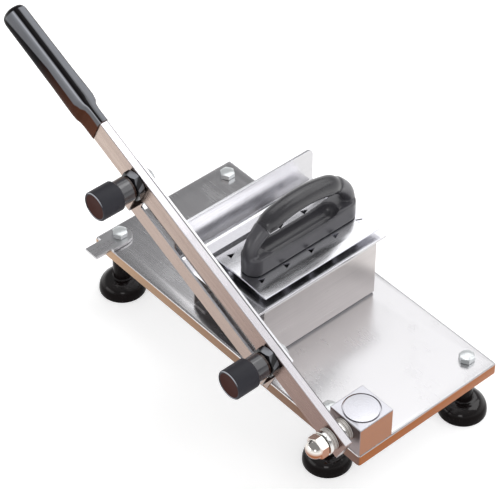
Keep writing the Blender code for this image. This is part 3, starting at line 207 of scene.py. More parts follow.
class PusherSettings(bpy.types.PropertyGroup):
    """Bow handle of the pusher."""
    bow_height: size("Height of the bow's centre line over the plate", 0.051)
    bow_span: size("Distance between the bow's legs", 0.115)
    leg_radius: size("Radius of the bow's legs", 0.0068)
    grip_radius: size("Radius of the bow's grip", 0.0095)
    seam: size("Gap at the two seams", 0.0004)
    seam_run: size("Straight run beside each seam", 0.002)
    base_height: size("Height of the handle's base", 0.0148)
    base_edge: size("Rounding of the base's rim", 0.0012)
    base_wall: size("Wall round the finger scoop", 0.003)
    scoop: size("Depth of the finger scoop in the base", 0.0095)
    rise: size("How far the base's rim climbs to the legs", 0.004)
    voxel: size("Step of the mesh that blends legs and base", 0.0008)
    screw_bore: size("Radius of the bores for the screws from below", 0.0023)
    screw_depth: size("Depth of those bores", 0.0125)
    plastic: colour("Base and legs of the bow handle", 80, 79, 84)
    grip: colour("Grip of the bow handle", 56, 55, 59)


class StageSettings(bpy.types.PropertyGroup):
    """Floor, lamps and camera."""
    floor: size("Width of the floor", 9.0, 20.0)
    background: colour("Floor and what lies beyond it", 255, 255, 255)
    dark: colour("What metal mirrors overhead where no lamp hangs", 146, 146, 147)
    ambient: share("Strength of the plain light from all round", 0.55, 5.0)
    glow: share("Brightness of the overhead lamp, 1 is white", 1.27, 20.0)
    side_glow: share("Brightness of the large side lamp, 1 is white", 1.35, 20.0)
    strip: share("Brightness of the narrow lamps, 1 is white", 3.6, 30.0)
    lens: share("Focal length in millimetres", 155.2, 500.0)
    camera_place: spot("Camera position", 1.063586, -0.90949, 1.44357)
    camera_aim: spot("Point at the middle of the view", -0.031694, 0.0478, 0.064)


class SlicerSettings(bpy.types.PropertyGroup):
    """All settings of the slicer."""
    round_steps: IntProperty(name="Round steps", description="Facets round a turned piece",
                             default=72, min=24, max=144)
    soften: size("Rounding of turned corners", 0.0004)
    sheet: PointerProperty(type=SheetSettings)
    foot: PointerProperty(type=FootSettings)
    pivot: PointerProperty(type=PivotSettings)
    lever: PointerProperty(type=LeverSettings)
    pusher: PointerProperty(type=PusherSettings)
    stage: PointerProperty(type=StageSettings)


def settings():
    return bpy.context.scene.slicer


# Node building


def join(value, socket):
    """Link a socket to another or set its value; a colour may come without alpha."""
    if isinstance(value, bpy.types.NodeSocket):
        socket.id_data.links.new(value, socket)
    else:
        socket.default_value = (*value, 1.0)[:4] if socket.type == "RGBA" else value


def add(kind, inputs=(), tree=None, **attributes):
    """A node, in the tree of the sockets that feed it unless another is given.

    Its attributes are set, and its inputs are set or linked by name or number.
    """
    inputs = dict(inputs)
    tree = tree or next(value.id_data for value in inputs.values()
                        if isinstance(value, bpy.types.NodeSocket))
    node = tree.nodes.new("ShaderNode" + kind)
    for key, value in attributes.items():
        setattr(node, key, value)
    for key, value in inputs.items():
        join(value, node.inputs[key])
    return node


def maths(operation, first, second=0.0, third=0.0):
    return add("Math", {0: first, 1: second, 2: third}, operation=operation).outputs[0]


def times(first, second):
    return maths("MULTIPLY", first, second)


def ranged(value, start, end, low=0.0, high=1.0):
    """A value moved from one range to another, held at its ends."""
    return add("MapRange", {"Value": value, "From Min": start, "From Max": end,
                            "To Min": low, "To Max": high}).outputs["Result"]


def blended(factor, first, second):
    """Two colours mixed by a factor."""
    return add("Mix", {0: factor, 6: first, 7: second}, data_type="RGBA").outputs[2]


def noise(vector, scale, detail=2.0, roughness=0.5):
    """Value and colour of a noise texture."""
    return add("TexNoise", {"Vector": vector, "Scale": scale, "Detail": detail,
                            "Roughness": roughness}).outputs


def parts_of(vector):
    """X, Y and Z of a vector."""
    return add("SeparateXYZ", {0: vector}).outputs


def from_axis(parts):
    """Distance from the Z axis."""
    flat = add("CombineXYZ", {0: parts[0], 1: parts[1]}).outputs[0]
    return add("VectorMath", {0: flat}, operation="LENGTH").outputs["Value"]


def node_group(fill, inputs, outputs):
    """A node group named after the function that links its inside."""
    group = bpy.data.node_groups.new(fill.__name__, "ShaderNodeTree")
    for way, labels in (("INPUT", inputs), ("OUTPUT", outputs)):
        for label in labels:
            kind = "Vector" if label in ("Vector", "Stretch", "Normal") else "Float"
            group.interface.new_socket(label, in_out=way, socket_type="NodeSocket" + kind)
    results = fill(*group.nodes.new("NodeGroupInput").outputs[:len(inputs)])
    for value, socket in zip(results, group.nodes.new("NodeGroupOutput").inputs):
        group.links.new(value, socket)
    return group


def effect(inputs, outputs):
    """Make a function place its node group, built only once, and give the group's outputs."""
    def wrap(fill):
        def place(*values):
            group = bpy.data.node_groups.get(fill.__name__) or node_group(fill, inputs, outputs)
            return add("Group", enumerate(values), node_tree=group).outputs
        return place
    return wrap


@effect(("Vector", "Stretch"), ("Lines", "Blotch"))
def brushed_lines(vector, stretch):
    """Fine lines from a belt or pad, and slow changes of tone."""
    drawn = add("VectorMath", {0: vector, 1: stretch}, operation="MULTIPLY").outputs[0]
    return (ranged(noise(drawn, 1.0, 4.0, 0.62)[0], 0.3, 0.7),
            ranged(noise(vector, 17.0, 3.0, 0.55)[0], 0.35, 0.68))


@effect(("Vector", "Rings per metre"), ("Rings",))
def turned_rings(vector, rings):
    """Fine rings round the Z axis, as a lathe tool leaves them."""
    parts = parts_of(vector)
    spread = add("CombineXYZ", {0: times(from_axis(parts), rings), 2: times(parts[2], rings)}).outputs[0]
    return [ranged(noise(spread, 1.0, 3.0, 0.6)[0], 0.3, 0.7)]


@effect(("Vector", "Grains per metre"), ("Grain", "Cloud"))
def moulded_grain(vector, grains):
    """Fine texture of a moulding, and slow changes of tone."""
    return (noise(vector, grains)[0], ranged(noise(vector, 42.0, 3.0, 0.6)[0], 0.35, 0.7))


@effect(("Vector",), ("Smudge",))
def hand_smudges(vector):
    """Soft patches where hands have dulled a surface."""
    pushed = add("VectorMath", {0: noise(vector, 30.0)[1], 1: (0.03, 0.03, 0.03),
                                2: vector}, operation="MULTIPLY_ADD").outputs[0]
    return [ranged(noise(pushed, 40.0)[0], 0.52, 0.74)]


@effect(("Normal",), ("Pivot side", "Upright", "Slope"))
def side_tones(normal):
    """Masks of faces that look to the pivot end and of upright ones, and how far each looks up."""
    x, _, z = parts_of(normal)
    return (ranged(x, 0.55, 0.95), ranged(maths("ABSOLUTE", z), 0.6, 0.25), z)


# Finishes


def object_space(material, turn):
    """Texture coordinates of the piece, turned, and its normal."""
    source = add("TexCoord", tree=material.node_tree).outputs
    turned_space = add("Mapping", {"Vector": source["Object"], "Rotation": turn})
    return turned_space.outputs[0], source["Normal"]


def started(name, turn=UNTURNED):
    """A new material, and the piece's coordinates and normal in it."""
    material = bpy.data.materials.new(name)
    material.use_nodes = True
    return material, *object_space(material, turn)


def shaded(material, sockets):
    """The material with its shader's sockets set or linked."""
    shader = material.node_tree.nodes["Principled BSDF"]
    for key, value in sockets.items():
        join(value, shader.inputs[key])
    return material


def shade_of(material):
    """What is linked to the shader's colour."""
    return material.node_tree.nodes["Principled BSDF"].inputs["Base Color"].links[0].from_socket


def worn(vector, lines, roughness, swing, dulling=0.08):
    """Roughness that swings with the lines and rises where hands have been."""
    smudge = hand_smudges(vector)[0]
    return maths("MULTIPLY_ADD", smudge, dulling,
                 ranged(lines, 0.0, 1.0, roughness - swing, roughness + swing))


def bumped(height, depth, strength):
    """A bump node's normal."""
    return add("Bump", {"Height": height, "Distance": depth, "Strength": strength}).outputs[0]


def brushed_steel(name, tint, roughness, stretch, side_reflections=None, turn=UNTURNED, contrast=0.04):
    """Steel with lines along one way; side tones, if given, are painted reflections on upright faces.

    They are the pivot end's, then the long side's by the handle and towards the pivot.
    """
    material, vector, normal = started(name, turn)
    lines, blotch = brushed_lines(vector, stretch)
    shade = blended(lines, darker(tint, 1 - contrast), tint)
    shade = blended(times(blotch, 0.5), shade, darker(tint, 1 - contrast / 2))
    # Upright faces are painted with reflection tones in place of the steel's tint, streaked by the lines
    if side_reflections:
        pivot_end, upright, _ = side_tones(normal)
        along = ranged(parts_of(vector)[0], BASE_LOW.x, BASE_HIGH.x)
        side = blended(pivot_end, blended(along, side_reflections[1], side_reflections[2]), side_reflections[0])
        side = blended(times(lines, 0.2), side, darker(side_reflections[1], 0.6))
        shade = blended(upright, shade, side)
    return shaded(material, {
        "Base Color": shade, "Metallic": 1.0,
        "Roughness": worn(vector, lines, roughness, swing=0.03, dulling=0.05),
        "Normal": bumped(lines, LINE_DEPTH, strength=0.06)})


def lever_steel():
    """The bar: bright on top with a painted shade line along its back edge; its outer face carries
    a painted reflection that turns browner towards the pivot, with long streaks.
    """
    lever, sheet = settings().lever, settings().sheet
    material, vector, normal = started("lever_bar_steel", ALONG_LEVER)
    lines = brushed_lines(vector, (9.0, 700.0, 700.0))[0]
    streaks = brushed_lines(vector, (5.0, 90.0, 210.0))[0]
    along, across, _ = parts_of(vector)
    # Painted reflection on the outer face, browner towards the pivot
    outer = blended(ranged(along, *BROWNING), lever.near_outer_reflection, lever.far_outer_reflection)
    outer = blended(times(streaks, 0.32), outer, darker(lever.far_outer_reflection, 0.75))
    top = blended(lines, darker(sheet.bar_top, 0.93), sheet.bar_top)
    # Painted shade: a dark line along the top's back edge, where the bar meets the blade
    back = lever_box("lever_bar")[1].y
    blade_gap_shade = ranged(across, back - sheet.edge * 4, back - sheet.edge * 3)
    top = blended(blade_gap_shade, top, darker(sheet.bar_top, 0.3))
    upright = side_tones(normal)[1]
    return shaded(material, {
        "Base Color": blended(upright, top, outer), "Metallic": 1.0,
        "Roughness": worn(vector, lines, 0.26, swing=0.06),
        "Normal": bumped(lines, LINE_DEPTH * 2, strength=0.3)})


def turned_metal(name, tint, roughness, turn=ALONG_AXLE, rings=2600.0, contrast=0.12,
                 metallic=1.0, below=None, level=-0.1):
    """Metal with fine rings round its axle; below is a painted reflection on faces sloping under level.
    """
    material, vector, normal = started(name, turn)
    ring = turned_rings(vector, rings)[0]
    shade = blended(ring, darker(tint, 1 - contrast), tint)
    if below:
        slope = side_tones(normal)[2]
        shade = blended(ranged(slope, level - 0.4, level), below, shade)
    return shaded(material, {
        "Base Color": shade, "Metallic": metallic,
        "Roughness": worn(vector, ring, roughness, swing=roughness * 0.25, dulling=0.05),
        "Normal": bumped(ring, LINE_DEPTH, strength=0.2)})


def moulding(name, tint, roughness, coat=0.0, grains=4200.0, turn=UNTURNED, specular=0.5,
             below=None, gloss_slopes=(-0.12, 0.08)):
    """Plastic or rubber with a fine grain and faint clouds, glossier where it looks up.

    Below is the painted shade on what looks down, a fifth darker unless given; the gloss and the
    paler colour grow between the two slopes.
    """
    material, vector, normal = started(name, turn)
    grain, cloud = moulded_grain(vector, grains)
    upward = ranged(side_tones(normal)[2], *gloss_slopes)
    shade = blended(cloud, darker(tint, 0.82), tint)
    return shaded(material, {
        # Painted shade: faces that look down take the darker tone
        "Base Color": blended(upward, below or darker(tint, 0.8), shade),
        "Roughness": worn(vector, cloud, roughness, swing=roughness * 0.15, dulling=0.1),
        "Normal": bumped(grain, GRAIN_DEPTH, strength=0.3),
        "Specular IOR Level": specular,
        "Coat Weight": ranged(upward, 0.0, 1.0, 0.0, coat),
        "Coat Roughness": roughness / 2, "Coat IOR": 1.65})


# Painted reflection bands round the lever handle: angle in degrees from straight outward up to
# straight up and over, and how much of the painted sheen shows there
GRIP_REFLECTION_BANDS = ((0, 0.30), (28, 0.37), (41, 0.56), (48, 1.0), (53, 0.8), (58, 0.26), (62, 0.0),
              (86, 0.0), (91, 0.42), (124, 0.42), (132, 0.0))
# Height of the painted sheen's lower edge, in those degrees, at the tip, the middle and the root
PAINTED_SHEEN_EDGE = [radians(degrees) for degrees in (-1, 14, 4)]


def handle_plastic(root, tip):
    """Lever handle, black, with painted reflections: a pale sheen outside and on top, brown below.

    Root and tip are its ends along the bar.
    """
    lever = settings().lever
    material, vector, normal = started("handle_plastic", ALONG_LEVER)
    grain, cloud = moulded_grain(vector, 1800.0)
    facing = add("Mapping", {"Vector": normal, "Rotation": ALONG_LEVER}).outputs[0]
    tipward, across, up = parts_of(facing)
    place = parts_of(vector)[0]
    angle = maths("ARCTAN2", up, times(across, -1.0))
    lowest, highest = GRIP_REFLECTION_BANDS[0][0], GRIP_REFLECTION_BANDS[-1][0]
    ramp = add("ValToRGB", {0: ranged(angle, radians(lowest), radians(highest))})
    stops = ramp.color_ramp.elements
    for degrees, amount in GRIP_REFLECTION_BANDS:
        at = (degrees - lowest) / (highest - lowest)
        stop = stops[0] if at == 0 else stops[-1] if at == 1 else stops.new(at)
        stop.color = (amount, amount, amount, 1.0)
    # Painted reflection: the pale sheen in bands set by the angle of each face round the handle
    shade = blended(ramp.outputs[0], lever.grip, lever.painted_sheen)
    middle = (root + tip) / 2
    edge = maths("MINIMUM", ranged(place, tip, middle, *PAINTED_SHEEN_EDGE[:2]),
                 ranged(place, middle, root, *PAINTED_SHEEN_EDGE[1:]))
    # Painted brown reflection below the painted sheen's lower edge, growing towards the root
    brown = blended(ranged(place, tip + (root - tip) * 0.4, root), lever.grip, lever.grip_brown_reflection)
    above = ranged(maths("SUBTRACT", angle, edge), radians(-2), radians(2))
    shade = blended(above, brown, shade)
    shade = blended(ranged(tipward, -0.36, -0.2), lever.grip, shade)
    shade = blended(times(cloud, 0.1), shade, lever.grip)
    return shaded(material, {
        "Base Color": shade, "IOR": 1.2,
        "Roughness": worn(vector, cloud, 0.28, swing=0.04, dulling=0.1),
        "Normal": bumped(grain, LINE_DEPTH, strength=0.3),
        "Specular IOR Level": ranged(above, 0.0, 1.0, 0.05, 0.5)})


def facet_plastic():
    """Black moulded hexagon whose upper facets carry a painted highlight in the middle."""
    lever = settings().lever
    material = moulding("clamp_nut_plastic", darker(lever.knob, 0.2), 0.24, coat=0.3,
                        turn=ALONG_BOTH, specular=0.2)
    vector, normal = object_space(material, ALONG_BOTH)
    x, y, _ = parts_of(vector)
    around = maths("ARCTAN2", y, x)
    sixth = maths("FRACT", maths("MULTIPLY_ADD", around, 3 / pi, 0.5))
    aside = maths("ABSOLUTE", maths("SUBTRACT", sixth, 0.5))
    facet = ranged(maths("ABSOLUTE", parts_of(normal)[1]), 0.3, 0.1)
    upward = ranged(side_tones(normal)[2], 0.3, 0.8, 0.0, 0.48)
    # Painted highlight in the middle of the facets that look up
    facet_highlight = times(ranged(aside, 0.34, 0.26), times(facet, upward))
    return shaded(material, {"Base Color": blended(facet_highlight, shade_of(material), lever.painted_sheen)})


def knob_plastic(neck_height, end_height):
    """Satin knob, glossy up to neck_height along its axle, with a painted highlight on its rim;
    its dished end is browner.
    """
    lever = settings().lever
    brown_radius, fade = 0.0112, 0.001
    material, vector, normal = started("knob_plastic", ALONG_AXLE)
    grain, cloud = moulded_grain(vector, 5200.0)
    parts = parts_of(vector)
    end = times(ranged(from_axis(parts), brown_radius + fade, brown_radius),
                ranged(parts[2], end_height - fade * 2, end_height - fade))
    # Painted highlight along the upper side of the outer rim
    rim = times(ranged(side_tones(normal)[2], 0.35, 0.6),
                ranged(parts[2], end_height - lever.knob_rim * 0.8,
                       end_height - lever.knob_rim * 0.6))
    body = blended(cloud, darker(lever.knob, 0.8), lever.knob)
    body = blended(rim, body, lever.painted_sheen)
    return shaded(material, {
        "Base Color": blended(end, body, lever.knob_end),
        "Roughness": ranged(cloud, 0.0, 1.0, 0.42, 0.52),
        "Normal": bumped(grain, GRAIN_DEPTH, strength=0.35),
        "Coat Weight": ranged(parts[2], neck_height + THIN, neck_height),
        "Coat Roughness": 0.12, "Coat IOR": 1.7,
        "Specular IOR Level": ranged(end, 0.0, 1.0, 0.16, 0.04)})


# Shapes


def around_z():
    """Angles of the facets round a turned piece."""
    steps = settings().round_steps
    return [tau * i / steps for i in range(steps)]


def circle(radius, height):
    """Points of a circle round Z, or the one point on the axis."""
    if radius < WELD:
        return [Vector((0, 0, height))]
    return [Vector((radius * cos(a), radius * sin(a), height)) for a in around_z()]


def hexagon(flats, height, fall=0.0, inner=0.0):
    """Points of a hexagon round Z, falling away outside the inner radius at that slope."""
    points = []
    for angle in around_z():
        corner = (angle + pi / 6) % (pi / 3) - pi / 6
        radius = flats / 2 / cos(corner)
        drop = fall * (radius - inner)
        points.append(Vector((radius * cos(angle), radius * sin(angle), height - drop)))
    return points


def chamfered(flats, near, far, inner):
    """Rings of a hexagon from near to far, chamfered at both ends from the inner radius."""
    return [circle(inner, near), hexagon(flats, near, -NUT_CHAMFER, inner),
            hexagon(flats, far, NUT_CHAMFER, inner), circle(inner, far)]


def skin(rings, closed=False):
    """A mesh over rings of points; a ring of one point closes that end."""
    bm = bmesh.new()
    loops = [[bm.verts.new(point) for point in ring] for ring in rings]
    for first, second in zip(loops, loops[1:] + (loops[:1] if closed else [])):
        count = max(len(first), len(second))
        for i in range(count):
            j = (i + 1) % count
            corners = [first[i % len(first)], first[j % len(first)], second[j % len(second)],
                       second[i % len(second)]]
            bm.faces.new(list(dict.fromkeys(corners)))
    for loop in (loops[0], loops[-1]):
        if len(loop) > 1 and not closed:
            bm.faces.new(loop)
    return as_mesh(bm)


def as_mesh(bm):
    """A smooth-shaded mesh with its true corners kept sharp."""
    bmesh.ops.recalc_face_normals(bm, faces=bm.faces)
    mesh = bpy.data.meshes.new("shape")
    bm.to_mesh(mesh)
    bm.free()
    return smooth(mesh, CORNER)


def smooth(mesh, corner):
    """The mesh shaded smooth, but sharp where faces meet at more than that angle."""
    mesh.shade_smooth()
    mesh.set_sharp_from_angle(angle=corner)
    return mesh


def softened(points, radius, closed, steps=4):
    """A profile with each corner turned into a small curve."""
    points = [Vector(point) for point in points]
    count = len(points)
    result = []
    for i, here in enumerate(points):
        if not closed and i in (0, count - 1):
            result.append(here)
            continue
        back = points[i - 1] - here
        onward = points[(i + 1) % count] - here
        first = here + back.normalized() * min(radius, back.length * 0.45)
        last = here + onward.normalized() * min(radius, onward.length * 0.45)
        for j in range(steps + 1):
            t = j / steps
            result.append(first * (1 - t) ** 2 + here * (2 * t * (1 - t)) + last * t ** 2)
    return result


def turned(profile, soften=None, closed=False):
    """A piece turned round Z from (radius, height) points, its corners softened."""
    amount = settings().soften if soften is None else soften
    points = softened(profile, amount, closed) if amount else profile
    return skin([circle(*point) for point in points], closed)


def arc(centre, across, up, start, end, steps=10):
    """Points on an ellipse's arc, angles in degrees."""
    angles = [radians(start + (end - start) * i / steps) for i in range(steps + 1)]
    return [(centre[0] + across * cos(a), centre[1] + up * sin(a)) for a in angles]


def curve_through(points, steps):
    """A smooth path through points."""
    padded = [points[0] * 2 - points[1], *points, points[-1] * 2 - points[-2]]
    path = []
    for a, b, c, d in zip(padded, padded[1:], padded[2:], padded[3:]):
        for t in [i / steps for i in range(steps)]:
            path.append((b * 2 + (c - a) * t + (a * 2 - b * 5 + c * 4 - d) * t ** 2
                         + (b * 3 - a - c * 3 + d) * t ** 3) / 2)
    return path + [points[-1]]


def tube(path, radii, curve_steps, steps=40):
    """A capped tube along a smooth path in the Y-Z plane, with its radius at each point."""
    girths = [v.x for v in curve_through([Vector((r, 0)) for r in radii], curve_steps)]
    path = curve_through(path, curve_steps)
    rings = []
    for i, here in enumerate(path):
        tangent = (path[min(i + 1, len(path) - 1)] - path[max(i - 1, 0)]).normalized()
        side = Vector((-tangent.y, tangent.x)) * girths[i]
        ring = []
        for angle in [tau * j / steps for j in range(steps)]:
            inward = side * cos(angle)
            ring.append(Vector((girths[i] * sin(angle), here.x + inward.x, here.y + inward.y)))
        rings.append(ring)
    return skin(rings)


def linked(name, data):
    """A new object in the scene."""
    obj = bpy.data.objects.new(name, data)
    bpy.context.scene.collection.objects.link(obj)
    return obj


def shaped(mesh, *modifiers):
    """A mesh with modifiers applied, each a kind and its values."""
    guide = linked("guide", mesh)
    for kind, values in modifiers:
        step = guide.modifiers.new(kind, kind)
        for key, value in values.items():
            setattr(step, key, value)
    bpy.context.view_layer.update()
    depsgraph = bpy.context.evaluated_depsgraph_get()
    result = bpy.data.meshes.new_from_object(guide.evaluated_get(depsgraph), depsgraph=depsgraph)
    bpy.data.objects.remove(guide, do_unlink=True)
    return result


def combined(first, second, operation):
    """Two meshes joined or cut."""
    other = linked("other", second)
    result = shaped(first, ("BOOLEAN", {"object": other, "operation": operation, "solver": "EXACT"}))
    bpy.data.objects.remove(other, do_unlink=True)
    return result


def block(low, high):
    """A plain box used as a cutter."""
    low, high = Vector(low), Vector(high)
    bm = bmesh.new()
    bmesh.ops.create_cube(bm, size=1.0, matrix=Matrix.Translation((low + high) / 2)
                          @ Matrix.Diagonal((*(high - low), 1.0)))
    return as_mesh(bm)


def moved(mesh, matrix):
    mesh.transform(matrix)
    return mesh


def hex_bolt(length):
    """A bolt whose head stands on z = 0, its shank below."""
    foot = settings().foot
    flats, head, radius = foot.bolt_flats, foot.bolt_head, foot.bolt_radius
    crown = flats / 2 * 0.94        # radius at which the chamfer starts
    edge = 0.0002                   # rounding of the head's edges
    point = radius * 0.75           # radius of the shank's chamfered end
    return skin([circle(0, head), circle(crown * 0.97, head), circle(crown, head - edge / 2),
                 hexagon(flats, head, HEAD_CHAMFER, crown), hexagon(flats, edge),
                 hexagon(flats - edge * 2, 0.0), circle(radius, 0.0),
                 circle(radius, radius / 4 - length), circle(point, -length),
                 circle(0, -length)])


# Placing


def placed(node, ending, mesh, body, material, origin=(0, 0, 0)):
    """A piece at its origin, riding on its body in place of the node it stands for."""
    name = node + "_" + ending
    mesh.name = name
    mesh.materials.clear()
    mesh.materials.append(material)
    obj = linked(name, mesh)
    obj.location = origin
    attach(obj, body)
    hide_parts(node)
    return obj


def kept_metal(name, display, roughness, turn, *nodes):
    """Frame nodes that stay as they are, in a better metal."""
    material = turned_metal(name, tone(*display), roughness, turn)
    for node in nodes:
        frame["nodes"][node].material_slots[0].material = material


def dressed(node, edge, body, material, origin=(0, 0, 0), segments=3):
    """A piece with the node's own faces joined into flat ones and its edges rounded."""
    bm = bmesh.new()
    bm.from_mesh(frame["nodes"][node].data)
    bmesh.ops.translate(bm, verts=bm.verts, vec=-Vector(origin))
    bmesh.ops.remove_doubles(bm, verts=bm.verts, dist=WELD)
    bmesh.ops.dissolve_limit(bm, angle_limit=radians(1.0), verts=bm.verts, edges=bm.edges)
    obj = placed(node, "piece", as_mesh(bm), body, material, origin)
    bevel = obj.modifiers.new("rounded edges", "BEVEL")
    bevel.width = edge
    bevel.segments = segments
    bevel.limit_method = "ANGLE"
    bevel.angle_limit = CORNER
    bevel.harden_normals = True
    bevel.use_clamp_overlap = True


def stood(node):
    """A node's lowest and highest corner, and the middle of its underside."""
    low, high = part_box(node)
    return low, high, Vector(((low.x + high.x) / 2, (low.y + high.y) / 2, low.z))


def lever_box(node):
    """A node's lowest and highest corner in the lever's own frame."""
    into = (Matrix.Translation(PIVOT) @ LEVER_TURN).inverted()
    points = [into @ vert.co for vert in frame["nodes"][node].data.vertices]
    return [Vector([most(p[i] for p in points) for i in range(3)]) for most in (min, max)]


def outward(node):
    """Where a node starts and ends, outward from the pivot, and its extent."""
    low, high = lever_box(node)
    return -high.y, -low.y, high - low


def numbered(name, count):
    return [f"{name}_{i + 1}" for i in range(count)]


class SLICER_OT_sheets(bpy.types.Operator):
    """Make the base plate, stop strap, riser and table, and finish the riser's fixings"""
    bl_idname = "slicer.sheets"
    bl_label = "Base, strap, riser and table"

    def execute(self, context):
        sheet = settings().sheet
        # Painted reflections on upright faces: the full coppery and brownish set on the base, and a faint
        # brownish tint on the riser. The strap and table keep the plain steel tone there
        plain = (sheet.steel,) * 3
        warm_reflection = (blend_tones(sheet.steel, sheet.long_side_reflection, 0.18),) * 3
        flange_reflections = (sheet.copper_reflection, sheet.long_side_reflection, sheet.far_side_reflection)
        for node, name, tint, roughness, stretch, side_reflections, slot in (
                ("base_plate", "base_sheet_steel", sheet.steel, sheet.roughness,
                 (14.0, 620.0, 620.0), flange_reflections, "sheet_steel"),
                ("stop_strap", "strap_steel", darker(sheet.steel, 0.92), 0.28,
                 (500.0, 16.0, 500.0), plain, "sheet_steel"),
                ("table_riser", "riser_steel", sheet.steel, 0.3, (620.0, 14.0, 620.0), warm_reflection,
                 "sheet_steel"),
                ("meat_table", "table_steel", sheet.polished, 0.2, (640.0, 12.0, 640.0), plain,
                 "polished_steel")):
            dressed(node, sheet.edge, "root", brushed_steel(name, tint, roughness, stretch, side_reflections))
        kept_metal("screw_zinc", (214, 214, 212), 0.2, UNTURNED, *numbered("riser_screw", 4),
                   *numbered("riser_nut", 4))
        return {"FINISHED"}


class SLICER_OT_feet(bpy.types.Operator):
    """Make the four rubber suction feet and their bolts, and finish their inserts"""
    bl_idname = "slicer.feet"
    bl_label = "Suction feet and bolts"

    def execute(self, context):
        foot = settings().foot
        low, high, _ = stood("suction_foot_1")
        height = high.z - low.z
        rim = (high.x - low.x) / 2 - WELD / 10
        swell = foot.neck + foot.lip
        collar_low = height - foot.collar_height
        profile = [(0, height - foot.pocket_depth), (foot.pocket, height - foot.pocket_depth),
                   (foot.pocket, height), (foot.collar, height), (foot.collar, collar_low),
                   (foot.neck, collar_low - foot.lip * 2)]
        profile += arc((swell, foot.cup_height + foot.lip), foot.lip, foot.lip, 180, 270, 5)
        profile += arc((swell, foot.lip), rim - swell, foot.cup_height - foot.lip, 90, 0, 18)[1:]
        profile += [(rim, 0), (rim - foot.land, 0)]
        profile += arc((0, 0), rim - foot.land - foot.lip / 4, foot.hollow, 6, 90, 14)
        mesh = turned(profile, foot.lip / 4)
        # Painted shade: all but the upward-looking faces of the feet take the darker rubber tone
        rubber = moulding("foot_rubber", foot.rubber, 0.2, coat=0.7, grains=2600.0,
                          specular=0.05, below=darker(foot.rubber, 0.8), gloss_slopes=(0.45, 0.8))
        zinc = turned_metal("bolt_zinc", tone(236, 240, 241), 0.2, UNTURNED, metallic=0.55)
        for cup, bolt in zip(numbered("suction_foot", 4), numbered("foot_bolt", 4)):
            placed(cup, "rubber", mesh.copy(), "root", rubber, stood(cup)[2])
            low, high, under = stood(bolt)
            seat = high.z - foot.bolt_head
            placed(bolt, "zinc", hex_bolt(seat - low.z), "root", zinc,
                   (under.x, under.y, seat))
        kept_metal("insert_zinc", (200, 198, 194), 0.3, UNTURNED, *numbered("foot_insert", 4))
        return {"FINISHED"}


class SLICER_OT_pivot_block(bpy.types.Operator):
    """Make the pivot block and the cap in its top, and finish its screws"""
    bl_idname = "slicer.pivot_block"
    bl_label = "Pivot block"

    def execute(self, context):
        sheet = settings().sheet
        # Painted reflections on the block's upright faces: coppery at the pivot end, brownish elsewhere
        knob_side_reflection = blend_tones(sheet.alloy, sheet.far_side_reflection, 0.7)
        alloy = brushed_steel("block_alloy", sheet.alloy, 0.3, (40.0, 500.0, 500.0),
                              (sheet.block_end_reflection, knob_side_reflection, knob_side_reflection))
        dressed("pivot_block", sheet.casting_edge, "root", alloy)
        low, high, under = stood("block_cap")
        radius = (high.x - low.x) / 2 - settings().pivot.cap_gap
        height = high.z - low.z
        cap = turned([(0, height), (radius, height), (radius, 0), (0, 0)], THIN)
        material = turned_metal("cap_alloy", sheet.alloy, 0.26, UNTURNED, rings=1500.0, contrast=0.05)
        placed("block_cap", "disc", cap, "root", material, under)
        kept_metal("block_screw_zinc", (210, 210, 208), 0.22, UNTURNED, *numbered("block_screw", 2))
        return {"FINISHED"}


